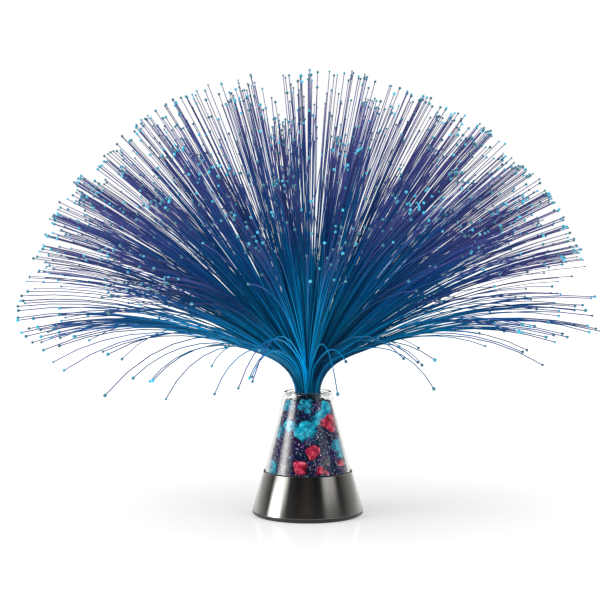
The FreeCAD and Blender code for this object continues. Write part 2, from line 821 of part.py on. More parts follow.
def make_leads():
    """Three short leads: cells to board, cells to switch, and switch to board."""
    tab_x = size("bay_half_length") - size("contact_thickness") / 2
    tab_y, tab_top, rise = size("cell_pitch"), size("tab_top"), size("lead_rise")
    radius, gap, slack = size("lead_radius"), size("lead_gap"), size("lead_slack")
    board, crest = size("board_top"), size("tray_bottom") - size("lead_radius") - size("lead_gap")
    pad_y = size("pad_inset")
    pad_x = size("board_radius") - pad_y
    make_lead("red_lead", [
        Vector(tab_x, tab_y, tab_top), Vector(tab_x, tab_y, tab_top + rise),
        Vector(pad_x, pad_y, crest), Vector(pad_x, pad_y, board),
    ])
    lug_x, lug_y = size("lug_pitch"), size("switch_offset")
    lug_top = size("switch_top") + size("lug_length")
    over_roof, beside = size("roof_top") + radius + gap, size("post_radius") + radius + 2 * gap
    past_box = size("bay_half_width") + size("bay_wall") + radius + 2 * gap
    make_lead("black_lead", [
        Vector(-tab_x, -tab_y, tab_top), Vector(-tab_x, -tab_y, tab_top + rise - gap),
        Vector(-size("screw_x"), beside - size("screw_y"), over_roof),
        Vector(beside - size("screw_x"), -past_box, over_roof),
        Vector(-lug_x, -lug_y, lug_top + slack), Vector(-lug_x, -lug_y, lug_top),
    ])
    make_lead("switch_lead", [
        Vector(lug_x, -lug_y, lug_top), Vector(lug_x, -lug_y, lug_top + slack),
        Vector(1.5 * lug_x, size("switch_gap") - lug_y, board), Vector(1.75 * lug_x, -pad_x, crest),
        Vector(1.75 * lug_x, -pad_x, board),
    ])


def make_switch():
    body = new_body("switch_body")
    low_y, high_y = about("0 - switch_offset", "switch_width")
    low_x, high_x = about("0", "switch_ear_length")
    pad(body, "ears", [rectangle(low_x, high_x, low_y, high_y)], "floor_top", "switch_ear_thickness")
    low_x, high_x = about("0", "switch_length")
    pad(body, "case", [rectangle(low_x, high_x, low_y, high_y)], "floor_top", "switch_height")
    spots = [(f"{side} * switch_screw_offset", "0 - switch_offset") for side in (1, -1)]
    pocket(body, "ear_holes", [(x, y, "switch_screw_radius + thread_gap") for x, y in spots],
           "floor_top", "switch_ear_thickness")
    low_x, high_x = about("0", "cavity_length")
    low_y, high_y = about("0 - switch_offset", "cavity_width")
    pocket(body, "knob_room", [rectangle(low_x, high_x, low_y, high_y)], "floor_top", "switch_cavity_height")
    low_y, high_y = about("0 - switch_offset", "lug_width")
    lugs = [rectangle(*about(f"{i} * lug_pitch", "lug_thickness"), low_y, high_y) for i in (-1, 0, 1)]
    pad(body, "lugs", lugs, "switch_top", "lug_length")
    screws = []
    for i, (x, y) in enumerate(spots, 1):
        seat = "floor_top + switch_ear_thickness"
        head = cylinder(f"switch_head_{i}", "switch_head_radius", "switch_head_height", x, y, seat)
        shank = cylinder(f"switch_shank_{i}", "switch_screw_radius",
                         "switch_ear_thickness + switch_screw_bite", x, y, "floor_top - switch_screw_bite")
        screws.append(fused(f"switch_screw_{i}", [head, shank]))
    return group("switch_screws", screws)


def make_knob():
    """The slider: a grip that stands down through the floor's slot and a flange inside the switch."""
    body = new_body("switch_knob")
    low_x, high_x = about("knob_x", "knob_length")
    low_y, high_y = about("0 - switch_offset", "knob_width")
    pad(body, "grip", [rectangle(low_x, high_x, low_y, high_y)],
        "pan_bottom + knob_recess", "flange_bottom - pan_bottom - knob_recess")
    low_x, high_x = about("knob_x", "knob_flange_length")
    low_y, high_y = about("0 - switch_offset", "knob_flange_width")
    pad(body, "flange", [rectangle(low_x, high_x, low_y, high_y)], "flange_bottom", "knob_flange_height")
    return body


def make_door():
    """The battery door: a plate on two end pins, with a latch lip at the other end."""
    body = new_body("battery_door")
    pad(body, "plate", [rectangle("0 - hinge_end", "door_end", "0 - door_half_width", "door_half_width")],
        "pan_bottom", "door_thickness")
    end, low = -size("hinge_end"), size("pan_bottom")

    def hinge_corner(edge):
        ends = [v.Point for v in edge.Vertexes]
        return all(abs(p.x - end) < 1e-4 and abs(p.z - low) < 1e-4 for p in ends)

    round_edges(body, "hinge_rounding", "hinge_round", hinge_corner)
    pad(body, "hinge_pins", [("0 - hinge_x", "hinge_z", "hinge_radius")], None,
        "2 * (door_half_width + hinge_reach)", role="XZ_Plane", both_ways=True)
    low_y, high_y = about("0", "latch_width")
    pad(body, "latch_web", [rectangle("door_end - latch_thickness", "door_end", low_y, high_y)],
        "pan_bottom + door_thickness", "latch_top - pan_bottom - door_thickness")
    pad(body, "latch_lip", [rectangle("door_end - latch_thickness", "latch_tip", low_y, high_y)],
        "latch_bottom", "latch_thickness")
    grooves = []
    for i in (1, 2, 3):
        low_x, high_x = about(f"door_end - {i} * groove_pitch", "groove_width")
        grooves.append(rectangle(low_x, high_x, low_y, high_y))
    pocket(body, "grip_grooves", grooves, "pan_bottom", "groove_depth")
    return body


# --- stones -----------------------------------------------------------------------------------------

# (kind, angle about the axis, share of the glass's height, share of the way from tube to glass, and how
# much room it takes, in squares of the usual stone's size)
CHOSEN_STONES = [
    ("teal", 272, 0.558, 0.80, 0.50), ("teal", 268, 0.822, 0.70, 0.13), ("teal", 305, 0.769, 0.75, 0.15),
    ("teal", 233, 0.588, 0.80, 0.11), ("teal", 226, 0.830, 0.70, 0.04), ("teal", 318, 0.347, 0.85, 0.13),
    ("teal", 322, 0.196, 0.85, 0.09), ("teal", 214, 0.106, 0.85, 0.07), ("teal", 210, 0.452, 0.85, 0.04),
    ("red", 312, 0.618, 0.80, 0.22), ("red", 281, 0.271, 0.85, 0.15), ("red", 262, 0.090, 0.85, 0.24),
    ("red", 289, 0.060, 0.85, 0.09), ("red", 322, 0.090, 0.80, 0.07), ("clear", 247, 0.106, 0.85, 0.11),
    ("clear", 303, 0.181, 0.85, 0.15), ("clear", 240, 0.241, 0.80, 0.04),
    ("teal", 40, 0.513, 0.80, 0.33), ("teal", 118, 0.211, 0.85, 0.17), ("teal", 86, 0.709, 0.75, 0.15),
    ("teal", 155, 0.664, 0.75, 0.11), ("red", 100, 0.452, 0.80, 0.22), ("red", 60, 0.136, 0.85, 0.17),
    ("red", 20, 0.226, 0.85, 0.13), ("red", 160, 0.362, 0.80, 0.13), ("clear", 135, 0.090, 0.85, 0.11),
]
STONE_KINDS = ("teal", "red", "clear", "purple")


def clip(faces, normal, offset):
    """What is left of a convex solid, as lists of corners, on the side where normal . p <= offset."""
    kept, rim = [], []
    for corners in faces:
        face = []
        for here, after in zip(corners, corners[1:] + corners[:1]):
            a, b = normal.dot(here) - offset, normal.dot(after) - offset
            if a <= 0:
                face.append(here)
            if (a < 0 < b) or (b < 0 < a):
                crossing = here + (after - here) * (a / (a - b))
                face.append(crossing)
                rim.append(crossing)
        if len(face) > 2:
            kept.append(face)
    if not rim:
        return faces if kept else []
    centre = sum(rim, Vector()) * (1 / len(rim))
    across = (rim[0] - centre).normalize()
    up = normal.cross(across)
    rim.sort(key=lambda p: math.atan2((p - centre).dot(up), (p - centre).dot(across)))
    cap = [p for p, q in zip(rim, rim[1:] + rim[:1]) if p.distanceToPoint(q) > 1e-7]
    return kept + [cap] if len(cap) > 2 else kept


def block(centre, reach):
    """The six faces of a cube about a centre."""
    faces = []
    for axis in range(3):
        for side in (-1, 1):
            face = []
            for a, b in ((-1, -1), (1, -1), (1, 1), (-1, 1)):
                corner = [0, 0, 0]
                corner[axis], corner[axis - 2], corner[axis - 1] = side, a, b
                face.append(centre + Vector(*corner) * reach)
            faces.append(face)
    return faces


def glass_inside(height):
    return size("glass_inner_bottom") - size("glass_slope") * (height - size("tray_top"))


def stone_sites():
    """Where each stone sits and how big it is: the chosen ones, then others thrown in where there is room."""
    draw = random.Random(7)
    floor, top = size("hub_top"), size("lid_bottom") - size("fill_room")
    inner, spacing = size("tube_radius"), size("stone_size")
    sites = []
    for kind, angle, lift, share, weight in CHOSEN_STONES:
        height = size("tray_top") + lift * size("glass_height")
        reach = inner + share * (glass_inside(height) - inner)
        turn_to = math.radians(angle)
        spot = Vector(reach * math.cos(turn_to), reach * math.sin(turn_to), height)
        sites.append((kind, spot, weight * spacing ** 2))
    for _ in range(6000):
        height = draw.uniform(floor + size("fill_rise"), top - size("fill_drop"))
        angle, share = draw.uniform(0, math.tau), math.sqrt(draw.uniform(0.03, 0.92))
        reach = inner + share * (glass_inside(height) - inner)
        spot = Vector(reach * math.cos(angle), reach * math.sin(angle), height)
        clear = all(spot.distanceToPoint(p) ** 2 > spacing ** 2 * 0.72 + 0.9 * w for _, p, w in sites)
        if clear:
            sites.append(("purple", spot, 0))
    return sites


def stone_shape(own, sites):
    """The flat-sided space nearer to this stone's middle than to any other's, less the gap between them."""
    _, middle, weight = own
    gap = size("stone_gap") / 2
    faces = block(middle, 2 * size("stone_size"))
    for other in sites:
        if other is own:
            continue
        _, beside, other_weight = other
        between = beside - middle
        apart = between.Length
        if apart > 4 * size("stone_size"):
            continue
        share = (apart ** 2 + weight - other_weight) / (2 * apart)
        direction = between / apart
        faces = clip(faces, direction, direction.dot(middle) + share - gap)
    up = Vector(0, 0, 1)
    faces = clip(faces, up, size("lid_bottom") - size("fill_room"))
    faces = clip(faces, up * -1, -size("hub_top") - gap)
    angle = math.atan2(middle.y, middle.x)
    outward = Vector(math.cos(angle), math.sin(angle), 0)
    faces = clip(faces, outward * -1, -size("tube_radius") - 2 * gap)
    lean, sides = math.atan(size("glass_slope")), 24
    inset = (glass_inside(size("tray_top")) * math.cos(math.pi / sides) - 2 * gap) * math.cos(lean)
    for i in range(sides):
        angle = math.tau * i / sides
        wall = Vector(math.cos(angle) * math.cos(lean), math.sin(angle) * math.cos(lean), math.sin(lean))
        faces = clip(faces, wall, inset + size("tray_top") * math.sin(lean))
    return faces


def make_stones():
    sites = stone_sites()
    solids = {kind: [] for kind in STONE_KINDS}
    for own in sites:
        faces = stone_shape(own, sites)
        if len(faces) < 4:
            continue
        shell = Part.makeShell([Part.Face(Part.makePolygon(corners + corners[:1])) for corners in faces])
        solid = Part.makeSolid(shell)
        if solid.Volume < 0:
            solid.reverse()
        solids[own[0]].append(solid)
    for kind in STONE_KINDS:
        plain(f"{kind}_stones", Part.makeCompound(solids[kind]))


# --- fibre spray ------------------------------------------------------------------------------------

GOLDEN_TURN = math.pi * (3 - math.sqrt(5))
FIBRE_TIERS = ("inner", "middle", "outer")


def make_bundle():
    """The potted lower end of the bundle and the sleeve that it plugs into the tube with."""
    turned("bundle_core", [
        ("0", "bundle_bottom"), ("core_radius", "bundle_bottom"), ("core_radius", "ferrule_top"),
        ("bundle_radius", "ferrule_top"), ("bundle_radius", "bundle_top"), ("0", "bundle_top"),
    ])
    turned("bundle_ferrule", [
        ("core_radius", "bundle_bottom"), ("bundle_radius", "bundle_bottom"),
        ("bundle_radius", "ferrule_top"), ("core_radius", "ferrule_top"),
    ])


def sunflower(count, reach):
    """Evenly spread points on a disc, as in the head of a sunflower."""
    points = []
    for i in range(count):
        out = reach * math.sqrt((i + 0.5) / count)
        points.append(Vector(out * math.cos(i * GOLDEN_TURN), out * math.sin(i * GOLDEN_TURN), 0))
    return points


def fibre_edges(root, heading, lean, bend, length, bend_length):
    """Upright at the root, a tight bend to bend radians, then a slack curve on to lean radians."""
    up = Vector(0, 0, 1)
    out = Vector(math.cos(heading), math.sin(heading), 0)

    def along(start, tilt, turning, run):
        radius = run / turning
        rise = math.sin(tilt + turning) - math.sin(tilt)
        return start + out * (radius * (math.cos(tilt) - math.cos(tilt + turning))) + up * (radius * rise)

    knee = along(root, 0, bend, bend_length)
    rest = length - bend_length
    return [
        Part.Arc(root, along(root, 0, bend / 2, bend_length / 2), knee).toShape(),
        Part.Arc(knee, along(knee, bend, (lean - bend) / 2, rest / 2),
                 along(knee, bend, lean - bend, rest)).toShape(),
    ]


def make_fibres():
    """Fibres rooted evenly in the bundle's top, gathered in tufts, that fan out to a dome."""
    draw = random.Random(11)
    radius = size("fibre_radius")
    reach = size("bundle_radius") - radius
    count = round(size("fibre_packing") * (reach / radius) ** 2)
    tufts = sunflower(round(size("tuft_count")), reach)
    share, splay = size("fibre_bend_share"), math.radians(size("fibre_splay"))
    bend_length = size("fibre_bend_length")
    base = Vector(0, 0, size("bundle_top"))
    fibres = {tier: [] for tier in FIBRE_TIERS}
    for i, root in enumerate(sunflower(count, reach)):
        tuft = min(tufts, key=root.distanceToPoint)
        aim = (tuft + (root - tuft) * size("tuft_spread")) / reach
        lean = splay * aim.Length
        trim = size("fibre_side_trim") * aim.Length + size("fibre_shortening") * draw.random() ** 2
        length = size("fibre_length") * (1 - trim)
        start = base + root
        edges = fibre_edges(start, math.atan2(aim.y, aim.x), lean, share * lean, length, bend_length)
        section = Part.Wire([Part.Circle(start, Vector(0, 0, 1), radius).toShape()])
        tier = FIBRE_TIERS[i * len(FIBRE_TIERS) // count]
        fibres[tier].append(Part.Wire(edges).makePipeShell([section], True, False))
    for tier, strands in fibres.items():
        plain(f"{tier}_fibres", Part.makeCompound(strands))


# --- building and writing ---------------------------------------------------------------------------


def check_document():
    """Stops if any object failed: recompute alone doesn't say so."""
    for item in doc.Objects:
        if "Invalid" in item.State or "Error" in item.State:
            raise ValueError(f"{item.Name} is {item.State}")


def sub_parts():
    """The finished pieces: solids that no other object takes in."""
    found = []
    for item in doc.Objects:
        is_shape = item.isDerivedFrom("Part::Feature")
        inner = item.isDerivedFrom("PartDesign::Feature") or item.isDerivedFrom("Sketcher::SketchObject")
        used = [user for user in item.InList if user.isDerivedFrom("Part::Feature")]
        if is_shape and not inner and not used:
            found.append(item)
    return found


def write_parts():
    os.makedirs("parts", exist_ok=True)
    for item in sub_parts():
        shape = item.Shape
        if shape.isNull() or not shape.isValid() or not shape.Solids:
            raise ValueError(f"{item.Label} has no sound solid")
        shape.exportStep(f"parts/{item.Label}.step")
        bounds = shape.BoundBox
        print(f"{item.Label}: {len(shape.Solids)} solids, {shape.Volume:.1f} mm3, "
              f"z {bounds.ZMin:.2f} to {bounds.ZMax:.2f}")


make_foot()
make_base_pan()
make_pan_screws()
make_skirt()
make_tray()
make_glass()
make_seal()
make_lid()
make_tube()
make_window()
make_board()
make_board_screws()
make_led()
make_cup()
make_board_parts()
make_cells()
make_contacts()
make_springs()
make_leads()
make_switch()
make_knob()
make_door()
make_stones()
make_bundle()
make_fibres()
doc.recompute()
check_document()
write_parts()
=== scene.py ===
"""The looks of the fibre optic lamp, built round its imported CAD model. Metres, +Z up, the floor at z = 0."""

import math
from types import SimpleNamespace

import bmesh
import bpy
import numpy as np
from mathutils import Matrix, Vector, noise


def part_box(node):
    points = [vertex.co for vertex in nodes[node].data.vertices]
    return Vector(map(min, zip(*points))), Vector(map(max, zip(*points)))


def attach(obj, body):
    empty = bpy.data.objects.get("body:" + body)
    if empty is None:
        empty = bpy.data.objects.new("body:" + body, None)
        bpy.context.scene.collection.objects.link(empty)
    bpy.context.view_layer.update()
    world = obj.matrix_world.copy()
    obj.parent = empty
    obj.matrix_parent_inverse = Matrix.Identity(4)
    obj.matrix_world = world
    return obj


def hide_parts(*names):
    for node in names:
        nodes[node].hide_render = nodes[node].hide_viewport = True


MM = 0.001

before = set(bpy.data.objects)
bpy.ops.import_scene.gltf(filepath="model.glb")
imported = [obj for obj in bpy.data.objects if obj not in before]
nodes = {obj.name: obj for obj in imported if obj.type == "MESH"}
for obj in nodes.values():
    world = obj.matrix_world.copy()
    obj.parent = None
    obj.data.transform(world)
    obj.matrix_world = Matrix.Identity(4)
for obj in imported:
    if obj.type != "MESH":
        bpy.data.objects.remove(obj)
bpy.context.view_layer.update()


# --- meshes ---

COLOUR_LAYER = "Colour"


def add_object(name, data):
    added = bpy.data.objects.new(name, data)
    bpy.context.scene.collection.objects.link(added)
    return added


def add_mesh(name, points, faces, smooth=True, sharp=None):
    """A new piece. Edges sharper than the given angle, in degrees, stay crisp."""
    mesh = bpy.data.meshes.new(name)
    mesh.from_pydata(np.asarray(points).tolist(), [], [list(f) for f in faces])
    mesh.update()
    if smooth:
        mesh.shade_smooth()
    if sharp is not None:
        mesh.set_sharp_from_angle(angle=math.radians(sharp))
    return add_object(name, mesh)


def add_parts(name, parts):
    """A new piece from separate (points, faces) shells of triangles."""
    points = np.concatenate([p for p, _ in parts])
    starts = np.cumsum([0] + [len(p) for p, _ in parts[:-1]])
    faces = np.concatenate([f + start for (_, f), start in zip(parts, starts)])
    return add_mesh(name, points, faces.tolist())


def round_corners(outline, steps=5):
    """An outline of (r, z, rounding) corners, with each rounded corner made an arc."""
    points, count = [], len(outline)
    for i, (r, z, rounding) in enumerate(outline):
        corner = Vector((r, z))
        if not rounding:
            points.append(corner)
            continue
        back = (Vector(outline[i - 1][:2]) - corner).normalized()
        ahead = (Vector(outline[(i + 1) % count][:2]) - corner).normalized()
        half = back.angle(ahead) / 2
        start = corner + back * rounding / math.tan(half)
        end = corner + ahead * rounding / math.tan(half)
        centre = corner + (back + ahead).normalized() * rounding / math.sin(half)
        for k in range(steps + 1):
            blend = (start - centre).lerp(end - centre, k / steps)
            points.append(centre + blend.normalized() * rounding)
    return points


def lathe(name, outline, segments=160, sharp=50):
    """A closed outline of (r, z, rounding) corners turned about the Z axis."""
    ring = round_corners(outline)
    count = len(ring)
    points, faces = [], []
    for s in range(segments):
        angle = math.tau * s / segments
        points += [(p.x * math.cos(angle), p.x * math.sin(angle), p.y) for p in ring]
        after = (s + 1) % segments
        for i in range(count):
            j = (i + 1) % count
            faces.append((s * count + i, s * count + j, after * count + j, after * count + i))
    piece = add_mesh(name, points, faces, sharp=sharp)
    work = bmesh.new()
    work.from_mesh(piece.data)
    bmesh.ops.recalc_face_normals(work, faces=work.faces)
    work.to_mesh(piece.data)
    work.free()
    return piece


def paint(piece, colours):
    """A colour for each vertex, as an array of (r, g, b)."""
    layer = piece.data.color_attributes.new(COLOUR_LAYER, "FLOAT_COLOR", "POINT")
    flat = np.ones((len(piece.data.vertices), 4), np.float32)
    flat[:, :3] = colours
    layer.data.foreach_set("color", flat.ravel())


def mark_faces(piece, first, look):
    """The faces from the first one on take a second material."""
    piece.data.materials.append(look.material)
    index = np.zeros(len(piece.data.polygons), np.int32)
    index[first:] = len(piece.data.materials) - 1
    piece.data.polygons.foreach_set("material_index", index)


def stand_in(piece, body, slot, *replaced):
    """The piece rides on a body and shows in place of CAD nodes; its slot is not used."""
    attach(piece, body)
    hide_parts(*replaced)


def unit_ball(level):
    """The points and triangles of an icosphere with a radius of 1."""
    work = bmesh.new()
    bmesh.ops.create_icosphere(work, subdivisions=level, radius=1.0)
    points = np.array([v.co[:] for v in work.verts])
    faces = np.array([[v.index for v in f.verts] for f in work.faces])
    work.free()
    return points, faces


def nearest(points, marks):
    """For each point, which of the marks is nearest."""
    return ((points[:, None] - marks[None]) ** 2).sum(axis=2).argmin(axis=1)


def ramp_up(value, start, width):
    """0 up to the start, then evenly up to 1 over the width."""
    return np.clip((value - start) / width, 0, 1)


# --- materials ---


class Net:
    """A node tree. A node that is given as an input stands for its first output."""

    def __init__(self, tree):
        self.tree = tree

    def link(self, output, socket):
        self.tree.links.new(output.outputs[0] if isinstance(output, bpy.types.Node) else output, socket)

    def node(self, kind, inputs=None, **settings):
        """A new node, with each input set to a value or linked to an output."""
        made = self.tree.nodes.new("ShaderNode" + kind)
        for key, value in settings.items():
            setattr(made, key, value)
        for key, value in (inputs or {}).items():
            if isinstance(value, (bpy.types.Node, bpy.types.NodeSocket)):
                self.link(value, made.inputs[key])
            else:
                made.inputs[key].default_value = value
        return made


class Look(Net):
    """A Principled material and the nodes that feed it."""

    def __init__(self, name, colour, **constants):
        self.material = bpy.data.materials.new(name)
        self.material.use_nodes = True
        super().__init__(self.material.node_tree)
        self.shader = self.tree.nodes["Principled BSDF"]
        self.shader.inputs["Base Color"].default_value = (*colour, 1)
        for key, value in constants.items():
            self.shader.inputs[key.replace("_", " ")].default_value = value

    def feed(self, socket, output):
        self.link(output, self.shader.inputs[socket])

    def surface(self, factor, first, second):
        """The surface is a mix of two shaders."""
        mix = self.node("MixShader", {0: factor, 1: first, 2: second})
        self.link(mix, self.tree.nodes["Material Output"].inputs["Surface"])

    def place(self, scale=(1, 1, 1)):
        """Coordinates in metres, stretched."""
        where = self.node("TexCoord").outputs["Object"]
        return self.node("Mapping", {"Vector": where, "Scale": scale})

    def noise(self, scale, detail=3.0, stretch=(1, 1, 1), roughness=0.55):
        return self.node("TexNoise", {"Vector": self.place(stretch), "Scale": scale, "Detail": detail,
                                      "Roughness": roughness})

    def ramp(self, factor, stops):
        """A colour ramp of (position, colour) stops."""
        ramp = self.node("ValToRGB", {"Fac": factor})
        marks = ramp.color_ramp.elements
        while len(marks) < len(stops):
            marks.new(0.5)
        for mark, (position, colour) in zip(marks, stops):
            mark.position = position
            mark.color = (*colour, 1)
        return ramp

    def tint(self, output, glow=0.0):
        """The base colour, which may glow a little."""
        self.feed("Base Color", output)
        if glow:
            self.feed("Emission Color", output)
            self.shader.inputs["Emission Strength"].default_value = glow

    def gloss(self, factor, low, high):
        """Roughness that varies within a range."""
        self.feed("Roughness", self.node("MapRange", {"Value": factor, "To Min": low, "To Max": high}))

    def bump(self, height, distance, strength=1.0):
        self.feed("Normal", self.node("Bump", {"Height": height, "Distance": distance, "Strength": strength}))

    def apply(self, piece):
        piece.data.materials.clear()
        piece.data.materials.append(self.material)


def moulded_plastic(name, colour, roughness=0.42, grain=0.02 * MM, **constants):
    """Moulded plastic: a fine even texture and slightly uneven gloss."""
    look = Look(name, colour, Roughness=roughness, **constants)
    darker, lighter = [tuple(c * k for c in colour) for k in (0.8, 1.25)]
    look.tint(look.ramp(look.noise(60, 4), [(0.3, darker), (0.7, lighter)]))
    look.gloss(look.noise(300), roughness - 0.08, roughness + 0.1)
    look.bump(look.noise(2600, 2), grain)
    return look


def plated_metal(name, colour, roughness=0.25):
    """Plated steel: faint drawing marks and cloudy tarnish."""
    look = Look(name, colour, Metallic=1.0, Roughness=roughness)
    tarnish = tuple(c * 0.72 for c in colour)
    look.tint(look.ramp(look.noise(180, 5), [(0.35, tarnish), (0.62, colour)]))
    look.gloss(look.noise(900), roughness - 0.1, roughness + 0.15)
    look.bump(look.noise(700, 4, (1, 1, 6)), 0.01 * MM)
    return look


def brushed_gunmetal():
    """Dark steel brushed round the axis: fine level scratches that smear its reflections up and down."""
    look = Look("brushed_gunmetal", (0.33, 0.33, 0.32), Metallic=1.0, Roughness=0.17,
                Anisotropic=0.9, Anisotropic_Rotation=0.25)
    scratches = look.noise(1.0, 4, (35, 35, 9000), 0.6)
    look.tint(look.ramp(scratches, [(0.3, (0.29, 0.287, 0.275)), (0.7, (0.36, 0.357, 0.345))]))
    look.gloss(scratches, 0.15, 0.19)
    look.feed("Tangent", look.node("Tangent", direction_type="RADIAL", axis="Z"))
    look.bump(scratches, 0.001 * MM, 0.35)
    return look


def clear_glass(name, tint, roughness=0.0, ior=1.47):
    """Clear glass that lets plain light through to what it holds."""
    look = Look(name, tint, Roughness=roughness, IOR=ior, Transmission_Weight=1.0)
    path = look.node("LightPath").outputs
    lit = look.node("Math", {0: path["Is Shadow Ray"], 1: path["Is Diffuse Ray"]}, operation="MAXIMUM")
    clear = look.node("BsdfTransparent", {"Color": (*(math.sqrt(c) for c in tint), 1)})
    look.surface(lit, look.shader, clear)
    return look


# the dark tone is painted shade, the pale one a painted highlight, and a glow is painted light
def crushed_glass(name, dark, bright, pale, glow=0.0):
    """Broken coloured glass: painted shade and highlights in its colour, a few whitish flecks, a painted glow when
    given one, and a sharp gloss.
    """
    look = Look(name, bright, Roughness=0.15, IOR=1.5, Specular_IOR_Level=0.2, Coat_Weight=0.7,
                Coat_Roughness=0.03)
    # painted shade and highlights: noise spreads the colour from the dark, shaded tone through the glass's own to a
    # whitish highlight
    cloudy = look.ramp(look.noise(240, 4, roughness=0.65), [(0.36, dark), (0.54, bright), (0.68, pale)])
    cells = look.node("TexVoronoi", {"Vector": look.place(), "Scale": 1500.0})
    fleck = look.ramp(look.node("SeparateColor", {"Color": cells.outputs["Color"]}),
                      [(0.93, (0, 0, 0)), (0.97, (1, 1, 1))])
    look.tint(look.node("MixRGB", {"Fac": fleck, "Color1": cloudy, "Color2": (*pale, 1)}), glow)
    look.gloss(look.noise(1200), 0.08, 0.3)
    look.bump(look.noise(430, 3), 1.0 * MM, 0.75)
    return look


def polished_glass(name, dark, bright, pale, glow):
    """Smooth coloured glass with a painted glow, and painted shade and highlights in its colour."""
    look = Look(name, bright, Roughness=0.1, IOR=1.5, Coat_Weight=0.8, Coat_Roughness=0.03)
    # painted shade and highlights: noise spreads the colour from the dark, shaded tone through the glass's own to a
    # whitish highlight; the glow is painted light
    look.tint(look.ramp(look.noise(280, 3), [(0.38, dark), (0.56, bright), (0.68, pale)]), glow)
    look.gloss(look.noise(900), 0.05, 0.22)
    look.bump(look.noise(380, 3), 0.8 * MM, 0.6)
    return look


def painted_look(name, glow=0.0, **constants):
    """Takes its colour from the piece's vertex colours, and may glow with it."""
    look = Look(name, (0.1, 0.1, 0.4), **constants)
    look.tint(look.node("VertexColor", layer_name=COLOUR_LAYER), glow)
    return look


# --- glass, skirt and tube ---


def radius_at(node, height, tolerance=0.02 * MM):
    """The outer radius of a CAD node's ring of points at a height."""
    return max(math.hypot(v.co.x, v.co.y) for v in nodes[node].data.vertices
               if abs(v.co.z - height) < tolerance)


SKIRT_LOW, SKIRT_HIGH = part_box("metal_skirt")
SKIRT_TOP = 35.2 * MM
SKIRT_WALL = 0.8 * MM
GLASS_LOW, GLASS_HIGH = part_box("glass_cone")
GLASS_WALL = 2.0 * MM
GLASS_FOOT = radius_at("glass_cone", GLASS_LOW.z)
GLASS_MOUTH = 18.6 * MM
GLASS_LIP = 2.2 * MM  # how far down the rounding of the mouth starts
GLASS_SLOPE = (GLASS_FOOT - GLASS_MOUTH) / (GLASS_HIGH.z - GLASS_LOW.z)
TUBE_WALL = 0.5 * MM


def glass_inside(height):
    """The inner radius of the glass at a height."""
    return GLASS_FOOT - GLASS_WALL - GLASS_SLOPE * (height - GLASS_LOW.z)


def build_skirt():
    bottom, rounding = radius_at("metal_skirt", SKIRT_LOW.z), 0.18 * MM
    skirt = lathe("skirt", [
        (bottom - SKIRT_WALL, SKIRT_LOW.z, rounding), (bottom, SKIRT_LOW.z, rounding * 1.4),
        (SKIRT_TOP, SKIRT_HIGH.z, rounding * 1.8), (SKIRT_TOP - SKIRT_WALL, SKIRT_HIGH.z, rounding),
    ], segments=240)
    brushed_gunmetal().apply(skirt)
    stand_in(skirt, "base", "brushed_gunmetal", "metal_skirt")


def build_glass():
    """The glass cone, with a rounded lip."""
    lip = GLASS_HIGH.z - GLASS_LIP
    glass = lathe("glass", [
        (GLASS_FOOT - GLASS_WALL, GLASS_LOW.z, 0.3 * MM), (GLASS_FOOT, GLASS_LOW.z, 0.3 * MM),
        (GLASS_FOOT - GLASS_SLOPE * (lip - GLASS_LOW.z), lip, 1.0 * MM),
        (GLASS_MOUTH + 0.35 * MM, GLASS_HIGH.z - 0.9 * MM, 0.6 * MM),
        (GLASS_MOUTH + 0.1 * MM, GLASS_HIGH.z, 0.75 * MM), (GLASS_MOUTH - GLASS_WALL, GLASS_HIGH.z, 0.75 * MM),
    ], segments=240, sharp=None)
    clear_glass("clear_glass", (0.9, 0.92, 0.92)).apply(glass)
    stand_in(glass, "base", "clear_glass", "glass_cone")


def build_tube():
    low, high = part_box("centre_tube")
    tube = lathe("tube", [
        (high.x - TUBE_WALL, low.z, 0), (high.x, low.z, 0),
        (high.x, high.z, 0.2 * MM), (high.x - TUBE_WALL, high.z, 0.2 * MM),
    ], segments=96)
    clear_glass("smoked_tube", (0.2, 0.23, 0.28), 0.05, 1.3).apply(tube)
    stand_in(tube, "base", "smoked_plastic", "centre_tube")


# --- stones ---

SAME_POINT = 0.001 * MM
SLIVER_AREA = 1e-10
LEAST_REACH = 0.2 * MM

# each glass: its look, a painted-shade tone, its own colour, a painted-highlight tone and, for teal and red, a
# painted glow
CHIP_LOOKS = {
    "teal_stones": dict(slot="teal_glass", power=14, scale=1.04, cuts=6, bumps=((1.6, 0.2), (4.5, 0.14), (12, 0.05)),
                        glass=(crushed_glass, (0.0, 0.05, 0.11), (0.0, 0.33, 0.5), (0.03, 0.68, 0.82), 0.34)),
    "red_stones": dict(slot="red_glass", power=8, scale=0.92, cuts=5, bumps=((1.3, 0.3), (3.2, 0.14), (9, 0.04)),
                       glass=(polished_glass, (0.15, 0.001, 0.02), (0.7, 0.025, 0.085), (0.9, 0.2, 0.28), 0.24)),
    "clear_stones": dict(slot="pale_glass", power=10, scale=0.6, cuts=5, bumps=((1.5, 0.2), (5, 0.06)),
                         glass=(crushed_glass, (0.02, 0.026, 0.035), (0.1, 0.12, 0.14), (0.4, 0.42, 0.46))),
}
